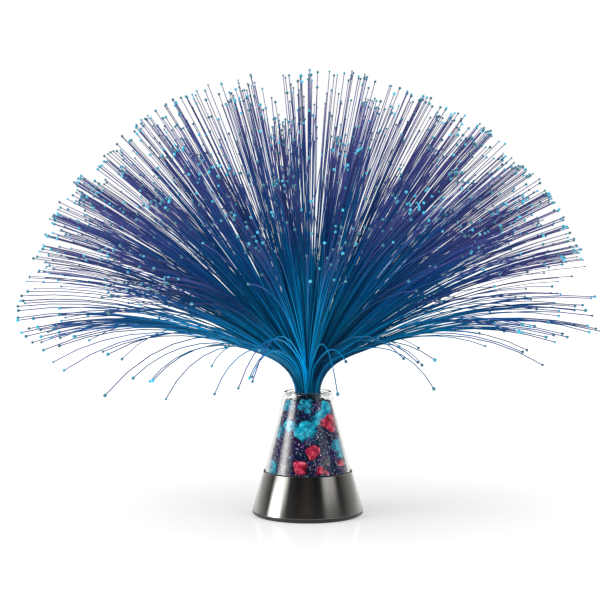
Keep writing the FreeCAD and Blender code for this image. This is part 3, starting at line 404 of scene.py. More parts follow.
# the stones in front, as in the photo: how far right, back and up in millimetres, and size
CHIP_PLACES = {
    "teal_stones": {0: (-5.5, 3, 1.5, 0.9), 1: (3.5, 3, 5.5, 0.8), 3: (5.5, 2, 3.5, 0.85),
                    4: (-3, 3, 4.5, 0.85), 6: (-2.4, 0, -1.2, 1.0), 7: (-0.5, 0, 2.2, 0.85),
                    10: (4.2, 1, 2.6, 0.85), 11: (-4.2, 3, 1.2, 0.85), 12: (-1.2, 0, 1.6, 0.85)},
    "red_stones": {0: (1.5, 2, 6.5, 0.6), 1: (0.6, 0, 1.8, 0.68), 2: (-3.6, 0, 2.4, 1.12),
                   5: (-2, 0, 3, 0.95), 8: (3, 0, 2.4, 1.25)},
    "clear_stones": {1: (-3.2, 1, 1.4, 1.0), 2: (0, 0, 0.5, 0.85), 3: (0, 6, 0, 0.6)},
}
SMALLER_BY = 0.26  # the other stones' sizes vary by up to this
CHIP_LEAN, LUMP_LEAN = 0.8, 0.2  # how far a smaller stone moves out to the glass
CHIP_LEVEL, LUMP_LEVEL = 5, 3
TUBE_CLEAR, GLASS_CLEAR = 10.6 * MM, 0.12 * MM
ARM_ENDS = ((0.0, -0.026, 0.066), (0.013, -0.02, 0.084))  # near the two stones that the arm joins
ARM_RADIUS = 4.4 * MM
ARM_REACH = 0.6  # half its length, as a share of the way between them


def loose_solids(node):
    """The flat-sided solids of a CAD node: each one's middle, its sides' normals and distances."""
    work = bmesh.new()
    work.from_mesh(nodes[node].data)
    bmesh.ops.remove_doubles(work, verts=work.verts, dist=SAME_POINT)
    seen, solids = set(), []
    for first in work.verts:
        if first in seen:
            continue
        group, front = [], [first]
        seen.add(first)
        while front:
            vertex = front.pop()
            group.append(vertex)
            for edge in vertex.link_edges:
                other = edge.other_vert(vertex)
                if other not in seen:
                    seen.add(other)
                    front.append(other)
        middle = sum((v.co for v in group), Vector()) / len(group)
        sides = {}
        # not a set, whose order would differ by run
        for face in dict.fromkeys(f for v in group for f in v.link_faces):
            if face.calc_area() < SLIVER_AREA:
                continue
            normal = face.normal.copy()
            offset = normal.dot(face.verts[0].co - middle)
            if offset < 0:
                normal, offset = -normal, -offset
            sides[tuple(round(c, 2) for c in normal)] = (*normal, max(offset, LEAST_REACH))
        sides = np.array([sides[key] for key in sorted(sides)])
        solids.append((np.array(middle), sides[:, :3], sides[:, 3]))
    work.free()
    return sorted(solids, key=lambda s: (round(float(s[0][2]), 5), round(float(s[0][0]), 5)))


def reach_of(solid, directions, power):
    """How far a flat-sided solid reaches from its middle, with its edges the rounder the lower the power."""
    _, normals, offsets = solid
    near = np.maximum(directions @ normals.T, 1e-6) / offsets
    return (near ** power).sum(axis=1) ** (-1 / power)


def outward(point):
    """The level direction from the axis to a point."""
    flat = np.array((point[0], point[1], 0.0))
    return flat / max(np.linalg.norm(flat), 1e-9)


def rumple(directions, seed, scale, strength):
    """A factor near 1 for each direction, from smooth noise."""
    shift = Vector((seed * 7.3, seed * 3.1, seed * 5.7))
    return np.array([1 + strength * noise.noise(Vector(d) * scale + shift) for d in directions])


def pebble(solid, level, power, scale, bumps, seed, lean, cuts=0):
    """A stone within a solid, drawn in, set nearer to the glass and cut. Its mesh, and its own solid."""
    middle, normals, offsets = solid
    if cuts:
        draw = np.random.default_rng(seed)
        sides = draw.normal(0, 1, (cuts, 3))
        sides /= np.linalg.norm(sides, axis=1, keepdims=True)
        depths = reach_of(solid, sides, power) * draw.uniform(0.76, 0.94, cuts)
        normals, offsets = np.concatenate([normals, sides]), np.concatenate([offsets, depths])
        solid = (middle, normals, offsets)
    way = outward(middle)
    shift = way * reach_of(solid, way[None], power)[0] * (1 - scale) * lean
    directions, faces = unit_ball(level)
    reach = reach_of(solid, directions, power) * scale
    for size, strength in bumps:
        reach = reach * rumple(directions, seed, size, strength)
    points = middle + shift + directions * reach[:, None]
    return points, faces, (middle + shift, normals, offsets * scale)


def build_chips():
    """The large coloured stones. Returns the space that each takes up."""
    taken = []
    for node, kind in CHIP_LOOKS.items():
        parts = []
        for i, solid in enumerate(loose_solids(node)):
            *nudge, size = CHIP_PLACES[node].get(i, (0, 0, 0, 1 - SMALLER_BY * (i * 0.618 % 1)))
            placed = (solid[0] + np.array(nudge) * MM, *solid[1:])
            points, faces, own = pebble(placed, CHIP_LEVEL, kind["power"], kind["scale"] * size,
                                        kind["bumps"], i + 1, CHIP_LEAN, kind["cuts"])
            parts.append((keep_inside(points), faces))
            taken.append(own)
        if node == "teal_stones":
            points, faces, own = arm_stone(taken)
            parts.append((keep_inside(points), faces))
            taken.append(own)
        piece = add_parts(node.replace("_stones", "_chips"), parts)
        maker, *tones = kind["glass"]
        maker(kind["slot"], *tones).apply(piece)
        stand_in(piece, "base", kind["slot"], node)
    return taken


def keep_inside(points):
    """Points drawn in to the glass, or out to the tube, where they would go through it."""
    out = np.hypot(points[:, 0], points[:, 1])
    kept = np.clip(out, TUBE_CLEAR, glass_inside(points[:, 2]) - GLASS_CLEAR)
    return points * np.stack([kept / out, kept / out, np.ones(len(out))], axis=1)


def arm_stone(taken):
    """The arm of the large teal stone in front, which reaches to the stone above it on the right."""
    low, high = [min(taken, key=lambda own: np.linalg.norm(own[0] - np.array(near)))[0] for near in ARM_ENDS]
    directions, faces = unit_ball(CHIP_LEVEL)
    along = (high - low) / np.linalg.norm(high - low)
    share = directions @ along
    across = directions - share[:, None] * along
    swell = rumple(directions, 3, 2.0, 0.2) * rumple(directions, 3, 6.0, 0.08)
    length = np.linalg.norm(high - low) * ARM_REACH
    middle = (low + high) / 2
    points = middle + (along * share[:, None] * length + across * ARM_RADIUS) * swell[:, None]
    sides, _ = unit_ball(2)
    level = np.sqrt(np.maximum(1 - (sides @ along) ** 2, 0))
    depths = np.hypot(sides @ along * length, level * ARM_RADIUS)
    return points, faces, (middle, sides, depths * 0.95)


# --- glittering fill ---

# colours of the lumps and grains, and how often each comes
LUMP_COLOURS = (
    ((0.07, 0.022, 0.16), 40), ((0.016, 0.03, 0.14), 36), ((0.008, 0.04, 0.16), 9), ((0.035, 0.016, 0.11), 15),
)
# painted shade: the lumps behind the grains are darkened, as deep in the fill
LUMP_PAINTED_SHADE = 0.3  # the lumps are darker than their grains
STRAY_SHARE, TEAL_SHARE = 0.22, 0.02  # of the grains, which take another colour
TEAL_GRAIN = np.array((0.01, 0.28, 0.4))
# painted glints: the flakes' bright colours
GLINT_COLOURS = ((0.9, 0.9, 1.0), (0.8, 0.85, 1.0), (0.75, 0.55, 0.9), (0.2, 0.6, 0.75))
SIDE_TRIES, TOP_TRIES = 46000, 9000  # places tried along the glass and on top
GRAINS = 17500  # how many of them are used
GRAIN_SIZES, FLAKE_SIZES = (0.36, 0.8), (0.24, 0.5)  # millimetres
GRAIN_TILTS = 64
# how many grains are flakes painted as glints
FLAKES = 2100
GRAIN_DEPTH = 1.2 * MM  # how deep the grains lie behind the glass, on average
FILL_BELOW, FILL_WAVES = 1.8 * MM, 1.6 * MM  # how far the fill's top is below the lumps, and its unevenness
FILL_TUBE, FILL_RIM = 11.2 * MM, 0.8 * MM  # how far out the fill starts, and its gap to the glass on top
STONE_FRONT = 2.4 * MM  # no grain lies this far in front of a stone


def build_grit(taken):
    """Dark lumps between the stones, darkened further as painted shade, and small flat-sided grains of glitter in
    front of and over them.
    """
    rng = np.random.default_rng(9)
    low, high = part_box("purple_stones")
    shades, weights = zip(*LUMP_COLOURS)
    shades, odds = np.array(shades), np.array(weights) / sum(weights)
    solids = loose_solids("purple_stones")
    lump_shades = shades[rng.choice(len(shades), len(solids), p=odds)]
    lumps = [pebble(solid, LUMP_LEVEL, 6, 0.9, ((1.8, 0.12),), i + 40, LUMP_LEAN)[:2]
             for i, solid in enumerate(solids)]
    core = add_parts("grit_lumps", lumps)
    paint(core, np.repeat(lump_shades * LUMP_PAINTED_SHADE, len(lumps[0][0]), axis=0))
    look = painted_look("grit_lump", Roughness=0.65, Specular_IOR_Level=0.06)
    look.bump(look.noise(1500, 3), 0.4 * MM, 0.8)
    look.apply(core)
    stand_in(core, "base", "purple_glitter", "purple_stones")

    spots, sizes = grain_spots(rng, taken, low.z, high.z)
    count = len(spots)
    middles = np.array([solid[0] for solid in solids])
    colours = lump_shades[nearest(spots, middles)] * rng.uniform(0.1, 1.8, (count, 1))
    stray = rng.random(count) < STRAY_SHARE
    other = shades[rng.choice(len(shades), count, p=odds)] * rng.uniform(0.6, 2.4, (count, 1))
    colours[stray] = other[stray]
    teal = rng.random(count) < TEAL_SHARE
    colours[teal] = TEAL_GRAIN * rng.uniform(0.5, 1.4, (teal.sum(), 1))
    build_grains(rng, spots, sizes, colours)


def fill_height(x, y, top):
    """How high the loose fill stands there: its top is uneven."""
    waves = np.array([noise.noise(Vector((a, b, 0.3)) * 170) for a, b in zip(x, y)])
    return top - FILL_BELOW + FILL_WAVES * waves


def grain_spots(rng, taken, floor, top):
    """Places for grains: a few deep against the glass, and spread over the top of the fill."""
    sizes = rng.uniform(*GRAIN_SIZES, SIDE_TRIES + TOP_TRIES) * MM
    turn = rng.uniform(0, math.tau, SIDE_TRIES + TOP_TRIES)
    # more of them low down, where the cone is wide
    height = floor + (top - floor) * (1 - np.sqrt(1 - 0.62 * rng.random(SIDE_TRIES))) / 0.384
    out = glass_inside(height) - sizes[:SIDE_TRIES] * 1.15 - rng.exponential(GRAIN_DEPTH, SIDE_TRIES)
    rim = glass_inside(top) - FILL_RIM
    ring = np.sqrt(rng.uniform(FILL_TUBE ** 2, rim ** 2, TOP_TRIES))
    out = np.concatenate([out, ring])
    x, y = out * np.cos(turn), out * np.sin(turn)
    crest = fill_height(x, y, top)
    height = np.concatenate([height, crest[SIDE_TRIES:] - rng.uniform(0, 1.6, TOP_TRIES) * MM])
    spots = np.stack([x, y, height], axis=1)
    free = (height < crest + 0.1 * MM) & (height > floor + sizes) & (out > FILL_TUBE)
    free &= out + sizes * 1.1 < glass_inside(height)
    slack = rng.uniform(0.0, 0.9, len(spots)) * sizes
    behind = spots - np.stack([np.cos(turn), np.sin(turn), 0 * turn], axis=1) * STONE_FRONT
    for middle, normals, offsets in taken:
        free &= ((spots - middle) @ normals.T - offsets).max(axis=1) > slack
        free &= ((behind - middle) @ normals.T - offsets * 0.9).max(axis=1) > 0
    chosen = rng.permutation(np.flatnonzero(free))[:GRAINS]
    return spots[chosen], sizes[chosen]


def build_grains(rng, spots, sizes, colours):
    """Small flat-sided grains at the given spots. The last of them are flakes, painted bright and glowing as glints.
    """
    ball = np.array([(1, 0, 0), (0, 1, 0), (-1, 0, 0), (0, -1, 0), (0, 0, 1), (0, 0, -1)], float)
    faces = np.array([(i, (i + 1) % 4, 4) for i in range(4)] + [((i + 1) % 4, i, 5) for i in range(4)])
    turns, _ = np.linalg.qr(rng.normal(0, 1, (GRAIN_TILTS, 3, 3)))
    turns *= np.sign(np.linalg.det(turns))[:, None, None]
    corners = ball * rng.uniform(0.8, 1.35, (GRAIN_TILTS, len(ball), 1))
    shapes = (corners * rng.uniform(0.7, 1.2, (GRAIN_TILTS, 1, 3))) @ turns
    near = np.argsort(glass_inside(spots[:, 2]) - np.hypot(spots[:, 0], spots[:, 1]))
    flakes = rng.choice(near[:len(near) // 2], FLAKES, replace=False)
    order = np.concatenate([np.setdiff1d(np.arange(len(spots)), flakes), flakes])
    spots, sizes, colours = spots[order], sizes[order], colours[order]
    sizes[-FLAKES:] = rng.uniform(*FLAKE_SIZES, FLAKES) * MM
    # painted glints: the flakes take bright colours, and glow
    tones = np.array(GLINT_COLOURS)[rng.integers(0, len(GLINT_COLOURS), FLAKES)]
    colours[-FLAKES:] = tones * rng.uniform(0.15, 1.0, (FLAKES, 1)) ** 1.3
    points = shapes[rng.integers(0, GRAIN_TILTS, len(spots))] * sizes[:, None, None] + spots[:, None]
    index = np.arange(len(spots))[:, None, None] * len(ball) + faces[None]
    piece = add_mesh("grit_grains", points.reshape(-1, 3), index.reshape(-1, 3).tolist(), smooth=False)
    paint(piece, np.repeat(colours, len(ball), axis=0))
    # painted glow: the grains glow a little with their own colours
    look = painted_look("purple_glitter", 0.1, Metallic=0.3, Roughness=0.2)
    look.gloss(look.noise(1500, 2), 0.1, 0.4)
    look.bump(look.noise(2400, 3), 0.08 * MM, 0.6)
    look.apply(piece)
    painted_glint_look = painted_look("glitter_painted_glint", 0.8, Metallic=0.2, Roughness=0.15)
    painted_glint_look.gloss(painted_glint_look.noise(1500, 2), 0.05, 0.3)
    mark_faces(piece, (len(spots) - FLAKES) * len(faces), painted_glint_look)
    stand_in(piece, "base", "purple_glitter", "purple_stones")


# --- fibre spray ---

FIBRES = 2040
TUFTS = 64  # bunches of fibres that lean the same way
# a strand's fibres share their painted light and shade
STRANDS = 510  # small groups of fibres that run together and share a shade
TIERS = ("inner", "middle", "outer")
GOLDEN_TURN = math.pi * (3 - math.sqrt(5))

LOOSE_SHARE = 0.42  # of the fibres, which keep to their own direction
TUFT_KEEP = 0.22  # how much of its own direction another fibre keeps within its tuft
STRAND_KEEP = 0.45  # and within its strand
LEFT_SHIFT = 0.018  # the fan has more fibres on the left
RIGHT_LIFT = 0.015  # and leans over a little to it
FRONT_LIFT = 0.13  # fibres lean less towards the camera
CROWN_THIN = 0.83  # below 1, fibres are fewer near the top of the fan
SPLAY = math.radians(84)
LOW_SPLAY = math.radians(17)  # what the outermost fibres lean beyond that
LOW_FROM, LOW_OVER = 0.8, 0.2  # from where out they do, and over what width
LOW_LEAN = math.radians(92)  # beyond this a fibre counts as a low one
STEADY_LEAN = math.radians(96)  # and beyond this it keeps its heading

FIBRE_LENGTH = 257 * MM
SIDE_TRIM = 0.055  # how much shorter the outermost fibres are
SHORT_FIBRES, SHORT_BY = 0.3, 0.17  # share of fibres that are shorter, and by how much at most
SHORT_STRANDS, STRAND_SHORT_BY = 0.18, 0.13
BEND_LENGTH = 46 * MM
BEND_SHARE = 0.75  # how much of its lean a fibre takes in that length
BEND_EASE = 1.7  # above 1, fibres bend hardest at the mouth
ARCH = 0.08  # the widest fibres bend less there and arch over further out
ARCH_FROM, ARCH_OVER = 0.72, 0.28
PART_MARKS = 9  # points along the bend, and along the rest
SWAY, SWAY_LENGTH, SWAY_FADE = 0.7 * MM, 9 * MM, 34 * MM  # fibres wind a little at the mouth

FIBRE_RADIUS = 0.335 * MM
FIBRE_TAPER = (1, 9, 17), (0.68, 1.0, 0.88)  # points along a fibre, and shares of the radius there
FIBRE_SIDES = 5
STOUT_BY, STOUT_FROM, STOUT_OVER = 0.4, 88, 8  # low fibres are thicker, by their lean in degrees
BEAD_RADIUS = 1.0 * MM

LOW_LENGTH = 253 * MM
ARCS = 12  # more fibres that arch over in front
# low fibres, mostly fitted to the photo by a search program: heading and lean in degrees, length share
LOW_FIBRES = (
    (-126, 127, 0.98), (-132, 145, 0.68), (-120, 145, 0.6), (-111, 133, 0.52), (-114, 139, 0.45), (-150, 139, 0.6),
    (-135, 130, 0.68), (-144, 130, 0.68), (-138, 118, 0.95), (-168, 121, 0.84), (-141, 109, 0.98), (-165, 106, 0.84),
    (-129, 109, 0.9), (-171, 115, 0.68), (141, 130, 0.9), (126, 115, 0.52), (132, 121, 0.45), (144, 151, 0.45),
    (-102, 103, 0.68), (-162, 97, 0.95), (-156, 103, 0.95), (-147, 100, 0.95), (180, 103, 0.84), (174, 106, 0.84),
    (-48, 142, 0.6), (-33, 118, 0.84), (9, 118, 0.76), (-42, 109, 0.84), (3, 112, 0.6), (-57, 112, 0.68),
    (21, 145, 0.45), (-72, 109, 0.84), (39, 121, 0.52), (-75, 115, 0.45), (-84, 130, 0.78), (-54, 100, 0.98),
    (0, 106, 0.84), (6, 103, 0.9), (-27, 106, 0.84), (42, 118, 0.45), (-66, 112, 0.76), (-99, 118, 0.97),
    (-102, 122, 0.93), (-154, 104, 0.9), (-160, 101, 0.88), (-151, 108, 0.86), (168, 104, 0.88), (-24, 101, 0.95),
    (-18, 98, 0.93), (-12, 104, 0.8), (-36, 103, 0.93), (15, 100, 0.9),
)

TEAL = np.array((0.0, 0.16, 0.335))
NAVY = np.array((0.001, 0.028, 0.12))
BLUE = np.array((0.001, 0.062, 0.2))
VIOLET = np.array((0.034, 0.042, 0.19))
DEEP = np.array((0.008, 0.052, 0.19))
DUSK = np.array((0.056, 0.052, 0.18))
BEAD_COLOUR = np.array((0.01, 0.2, 0.29))
NAVY_TUFTS, NAVY_STRANDS = 0.4, 0.15
# painted shadow: these tufts and strands are made nearly black up to the middle of the fan, as shade between lit
# ones
SHADOWED_TUFTS, SHADOWED_STRANDS = 0.42, 0.14  # nearly black up to the middle of the fan


def sunflower(count):
    """Evenly spread points on a unit disc, as in the head of a sunflower."""
    turn = np.arange(count) * GOLDEN_TURN
    out = np.sqrt((np.arange(count) + 0.5) / count)
    return np.stack([out * np.cos(turn), out * np.sin(turn)], axis=1)


def plan_fibres(rng):
    """Each fibre's root on the unit disc, tuft, strand, heading, lean and length."""
    roots, tufts, strands = sunflower(FIBRES), sunflower(TUFTS), sunflower(STRANDS)
    tuft, strand = nearest(roots, tufts), nearest(roots, strands)
    loose = rng.random(FIBRES) < LOOSE_SHARE
    keep = np.where(loose, rng.uniform(0.6, 1.3, FIBRES), TUFT_KEEP)[:, None]
    gathered = strands[strand] + (roots - strands[strand]) * np.where(loose, 1, STRAND_KEEP)[:, None]
    aim = tufts[tuft] + (gathered - tufts[tuft]) * keep
    aim += rng.normal(0, 0.012, (STRANDS, 2))[strand]
    aim += rng.normal(0, 1, (FIBRES, 2)) * np.where(loose, 0.02, 0.006)[:, None]
    aim[:, 0] -= LEFT_SHIFT
    spread = np.hypot(aim[:, 0], aim[:, 1])
    heading = np.arctan2(aim[:, 1], aim[:, 0])

    within = np.minimum(spread, 1.0)
    lean = SPLAY * within ** CROWN_THIN + LOW_SPLAY * ramp_up(spread, LOW_FROM, LOW_OVER) ** 1.8
    facing = np.maximum(-np.sin(heading), 0) ** 2 * within
    lean = lean * (1 - RIGHT_LIFT * np.cos(heading) * within - FRONT_LIFT * facing)
    sideways = np.abs(np.cos(heading))
    drooping = (spread > 0.93) & (rng.random(FIBRES) < 0.06 + 0.22 * sideways)
    lean = lean + drooping * np.radians(rng.uniform(2, 6 + 12 * sideways))

    short = 0.016 * rng.random(FIBRES)
    short += np.where(rng.random(FIBRES) < SHORT_FIBRES, SHORT_BY * rng.random(FIBRES) ** 1.5, 0)
    short += np.where(rng.random(STRANDS) < SHORT_STRANDS, STRAND_SHORT_BY * rng.random(STRANDS), 0)[strand]
    length = FIBRE_LENGTH * rng.uniform(0.988, 1.0, TUFTS)[tuft] * (1 - SIDE_TRIM * spread - short)
    fan = SimpleNamespace(roots=roots, tuft=tuft, strand=strand, heading=heading, lean=lean, length=length)
    place_low_fibres(rng, fan)
    return fan


def place_low_fibres(rng, fan):
    """Some fibres of the rim hang or arch over as in the photo."""
    placed = np.zeros(FIBRES)
    for turn, droop, share in LOW_FIBRES:
        turn = math.radians(turn)
        near = np.array((math.cos(turn), math.sin(turn))) * 0.97
        chosen = (((fan.roots - near) ** 2).sum(axis=1) + placed).argmin()
        placed[chosen] = 9.0
        fan.heading[chosen], fan.lean[chosen] = turn, math.radians(droop)
        fan.length[chosen] = LOW_LENGTH * share
    x, y = fan.roots[:, 0], fan.roots[:, 1]
    free = (np.hypot(x, y) > 0.95) & (y < 0.1) & (np.abs(x) > 0.6) & (fan.lean < LOW_LEAN) & (placed == 0)
    arcs = rng.choice(np.flatnonzero(free), ARCS, replace=False)
    fan.lean[arcs] = np.radians(rng.uniform(94, 104, ARCS))
    fan.length[arcs] = FIBRE_LENGTH * rng.uniform(0.6, 0.92, ARCS)


def trace_fibres(rng, fan, base, reach, depth):
    """Points along every fibre, from its foot in the tube to its tip, and its share of the length there."""
    lean, length = fan.lean[:, None], fan.length[:, None]
    bend = (BEND_SHARE - ARCH * ramp_up(lean / SPLAY, ARCH_FROM, ARCH_OVER)) * np.minimum(lean, SPLAY + LOW_SPLAY)
    early = np.linspace(0, BEND_LENGTH, PART_MARKS)[None, 1:].repeat(FIBRES, axis=0)
    late = BEND_LENGTH + (length - BEND_LENGTH) * np.linspace(0, 1, PART_MARKS)[None, 1:]
    marks = np.concatenate([np.zeros((FIBRES, 1)), early, late], axis=1)
    left = 1 - np.minimum(marks / BEND_LENGTH, 1)
    beyond = np.maximum(marks - BEND_LENGTH, 0) / (length - BEND_LENGTH)
    tilt = np.where(marks <= BEND_LENGTH + 1e-9, bend * (1 - left ** BEND_EASE),
                    bend + (lean - bend) * beyond ** 1.25)
    drift = rng.normal(0, math.radians(3.0), TUFTS)[fan.tuft] + rng.normal(0, math.radians(1.6), FIBRES)
    drift[fan.lean > STEADY_LEAN] = 0
    turn = fan.heading[:, None] + drift[:, None] * (marks / length) ** 1.5 * 2

    tilt, turn = (tilt[:, 1:] + tilt[:, :-1]) / 2, (turn[:, 1:] + turn[:, :-1]) / 2
    ways = np.stack([np.sin(tilt) * np.cos(turn), np.sin(tilt) * np.sin(turn), np.cos(tilt)], axis=2)
    steps = ways * np.diff(marks, axis=1)[:, :, None]
    start = np.concatenate([fan.roots * reach, np.full((FIBRES, 1), base)], axis=1)
    points = np.concatenate([start[:, None], start[:, None] + np.cumsum(steps, axis=1)], axis=1)

    sway = SWAY * np.sin(marks / SWAY_LENGTH + rng.uniform(0, math.tau, (FIBRES, 1)))
    sway *= np.exp(-(marks / SWAY_FADE) ** 2) * (marks > 1e-9)
    side = rng.uniform(0, math.tau, TUFTS)[fan.tuft][:, None]
    points[:, :, 0] += sway * np.cos(side)
    points[:, :, 1] += sway * np.sin(side)
    foot = start.copy()
    foot[:, 2] -= depth
    points = np.concatenate([foot[:, None], points], axis=1)
    return points, np.concatenate([np.zeros((FIBRES, 1)), marks / length], axis=1)


def colour_fibres(rng, fan, share):
    """Teal at the root, then blue or navy by the tuft, and violet to the tip. Some tufts stay teal for longer, and
    fibres facing the camera longer still, as painted light. Painted light and shade make tufts and strands brighter
    or darker, darker near the mouth, and some nearly black.
    """
    tuft, strand, heading = fan.tuft, fan.strand, fan.heading
    low = fan.lean > LOW_LEAN
    # painted light: fibres that face the camera stay teal for longer, as if lit from the front
    front = np.maximum(-np.sin(heading), 0) ** 2 * np.clip(fan.lean / SPLAY, 0, 1)
    hold = rng.uniform(0.12, 0.6, TUFTS)[tuft] + rng.normal(0, 0.05, STRANDS)[strand] + 0.3 * front
    hold = np.where(low, np.maximum(hold, 0.55), hold)[:, None]
    navy = (rng.random(TUFTS) < NAVY_TUFTS)[tuft] ^ (rng.random(STRANDS) < NAVY_STRANDS)[strand]
    first = ramp_up(share, hold * 0.75, 0.24)[:, :, None]
    second = ramp_up(share, hold + 0.24, 0.42)[:, :, None]
    last = ramp_up(share, 0.72, 0.28)[:, :, None]
    colour = TEAL * (1 - first) + np.where(navy[:, None, None], NAVY, BLUE) * first
    blue = np.clip(0.55 - 0.45 * np.cos(heading) + rng.normal(0, 0.3, TUFTS)[tuft], 0, 1)[:, None, None]
    colour = colour * (1 - second) + (VIOLET * (1 - blue) + DEEP * blue) * second
    colour = colour * (1 - last) + DUSK * last

    # painted light and shade: tufts and strands are brighter or darker at random, most near the root, as lit and
    # shaded locks
    near = np.clip(1.15 - share / 0.65, 0, 1)
    light_and_shade = 1 + (rng.uniform(0.3, 1.5, TUFTS)[tuft][:, None] - 1) * near
    light_and_shade = light_and_shade * (1 + (rng.uniform(0.15, 2.0, STRANDS)[strand][:, None] - 1) * (0.35 + 0.65 * near))
    # painted shadow: some tufts and strands darkened nearly to black from the mouth to the middle
    shadowed = (rng.random(TUFTS) < SHADOWED_TUFTS)[tuft] ^ (rng.random(STRANDS) < SHADOWED_STRANDS)[strand]
    deep = (shadowed[:, None] * np.clip(share / 0.06, 0, 1) * np.clip(1.4 - share / 0.55, 0, 1))[:, :, None]
    colour = colour * (1.08 - 0.96 * deep) + NAVY * 0.3 * deep
    light_and_shade = light_and_shade * rng.uniform(0.65, 1.35, FIBRES)[:, None]
    light_and_shade = np.where(low[:, None], np.maximum(light_and_shade, 0.9), light_and_shade)
    # painted shade: fibres darker near the mouth, where the bundle is packed
    light_and_shade = light_and_shade * (1 - 0.6 * np.exp(-(share / 0.06) ** 2))
    return colour * light_and_shade[:, :, None]


def tubes(paths, radii, sides):
    """Round tubes along many paths at once: their points, ring by ring, and their faces."""
    count, length, _ = paths.shape
    tangent = np.gradient(paths, axis=1)
    tangent /= np.linalg.norm(tangent, axis=2, keepdims=True)
    aside = np.cross(paths[:, -1] - paths[:, 0], (0, 0, 1.0))
    aside[np.linalg.norm(aside, axis=1) < 1e-6] = (1, 0, 0)
    across = aside[:, None] - (aside[:, None] * tangent).sum(axis=2, keepdims=True) * tangent
    across /= np.linalg.norm(across, axis=2, keepdims=True)
    upward = np.cross(tangent, across)
    angles = (np.arange(sides) * math.tau / sides)[None, None, :, None]
    rings = paths[:, :, None] + radii[:, :, None, None] * (
        across[:, :, None] * np.cos(angles) + upward[:, :, None] * np.sin(angles))
    index = np.arange(count * length * sides).reshape(count, length, sides)
    a, b = index[:, :-1], index[:, 1:]
    faces = np.stack([a, np.roll(a, -1, axis=2), np.roll(b, -1, axis=2), b], axis=3)
    return rings.reshape(-1, 3), faces.reshape(-1, 4)


def build_fibres():
    """The fibres and the beads at their tips, as a piece for each tier."""
    rng = np.random.default_rng(31)
    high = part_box("bundle_core")[1]
    ferrule_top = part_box("bundle_ferrule")[1].z
    fan = plan_fibres(rng)
    # the outermost fibres show through the tube, so they start at the ferrule
    rim = np.hypot(fan.roots[:, 0], fan.roots[:, 1]) > 0.9
    depth = np.where(rim, high.z - ferrule_top - 0.2 * MM, 3 * MM)
    paths, share = trace_fibres(rng, fan, high.z, high.x - 0.42 * MM, depth)
    lean, length = fan.lean[:, None], fan.length[:, None]
    colours = colour_fibres(rng, fan, np.where(lean > LOW_LEAN, share * length / FIBRE_LENGTH, share))
    radii = FIBRE_RADIUS * np.interp(np.arange(paths.shape[1]), *FIBRE_TAPER)
    look = painted_look("fibre_acrylic", 0.3, Roughness=0.32, Specular_IOR_Level=0.06)
    look.gloss(look.noise(400, 2), 0.24, 0.42)
    bead_look = painted_look("fibre_tip", 0.4, Roughness=0.12, Specular_IOR_Level=0.8, Coat_Weight=0.6)
    bead_look.gloss(bead_look.noise(900, 2), 0.08, 0.25)
    ball, ball_faces = unit_ball(2)
    tier = np.arange(FIBRES) * len(TIERS) // FIBRES
    for t, name in enumerate(TIERS):
        own = tier == t
        stout = 1 + STOUT_BY * ramp_up(np.degrees(fan.lean[own]), STOUT_FROM, STOUT_OVER)
        points, faces = tubes(paths[own], radii[None] * stout[:, None], FIBRE_SIDES)
        tips = paths[own][:, -1]
        sizes = BEAD_RADIUS * rng.uniform(0.72, 1.2, len(tips)) * (0.25 + 0.75 * stout)
        beads = ball[None] * sizes[:, None, None] + tips[:, None]
        bead_index = np.arange(len(tips))[:, None, None] * len(ball) + len(points) + ball_faces[None]
        all_faces = faces.tolist() + bead_index.reshape(-1, 3).tolist()
        piece = add_mesh(f"{name}_strands", np.concatenate([points, beads.reshape(-1, 3)]), all_faces)
        bead_colours = BEAD_COLOUR * (0.5 + 2.1 * rng.random(len(tips)) ** 1.9)[:, None]
        paint(piece, np.concatenate([np.repeat(colours[own].reshape(-1, 3), FIBRE_SIDES, axis=0),
                                     np.repeat(bead_colours, len(ball), axis=0)]))
        look.apply(piece)
        mark_faces(piece, len(faces), bead_look)
        stand_in(piece, "spray", "fibre_acrylic", f"{name}_fibres")


def build_core():
    """The dark potted middle of the bundle, with the outer fibres laid round it."""
    low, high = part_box("bundle_core")
    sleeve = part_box("bundle_ferrule")[1].z
    wide, slim, axis = 9.3 * MM, 9.15 * MM, 0.2 * MM
    core = lathe("potted_core", [
        (axis, low.z, 0), (wide, low.z, 0.2 * MM), (wide, sleeve, 0),
        (slim, sleeve + 0.4 * MM, 0), (slim, high.z - 0.8 * MM, 0.7 * MM), (axis, high.z, 0),
    ], segments=96)
    look = Look("potted_fibre", (0.004, 0.03, 0.06), Roughness=0.35)
    streaks = look.noise(1.0, 3, (900, 900, 25), 0.6)
    look.tint(look.ramp(streaks, [(0.35, (0.001, 0.012, 0.03)), (0.65, (0.004, 0.06, 0.12))]))
    look.gloss(streaks, 0.25, 0.5)
    look.bump(streaks, 0.2 * MM, 0.7)
    look.apply(core)
    stand_in(core, "spray", "potted_fibre", "bundle_core")


# --- carried-over nodes ---


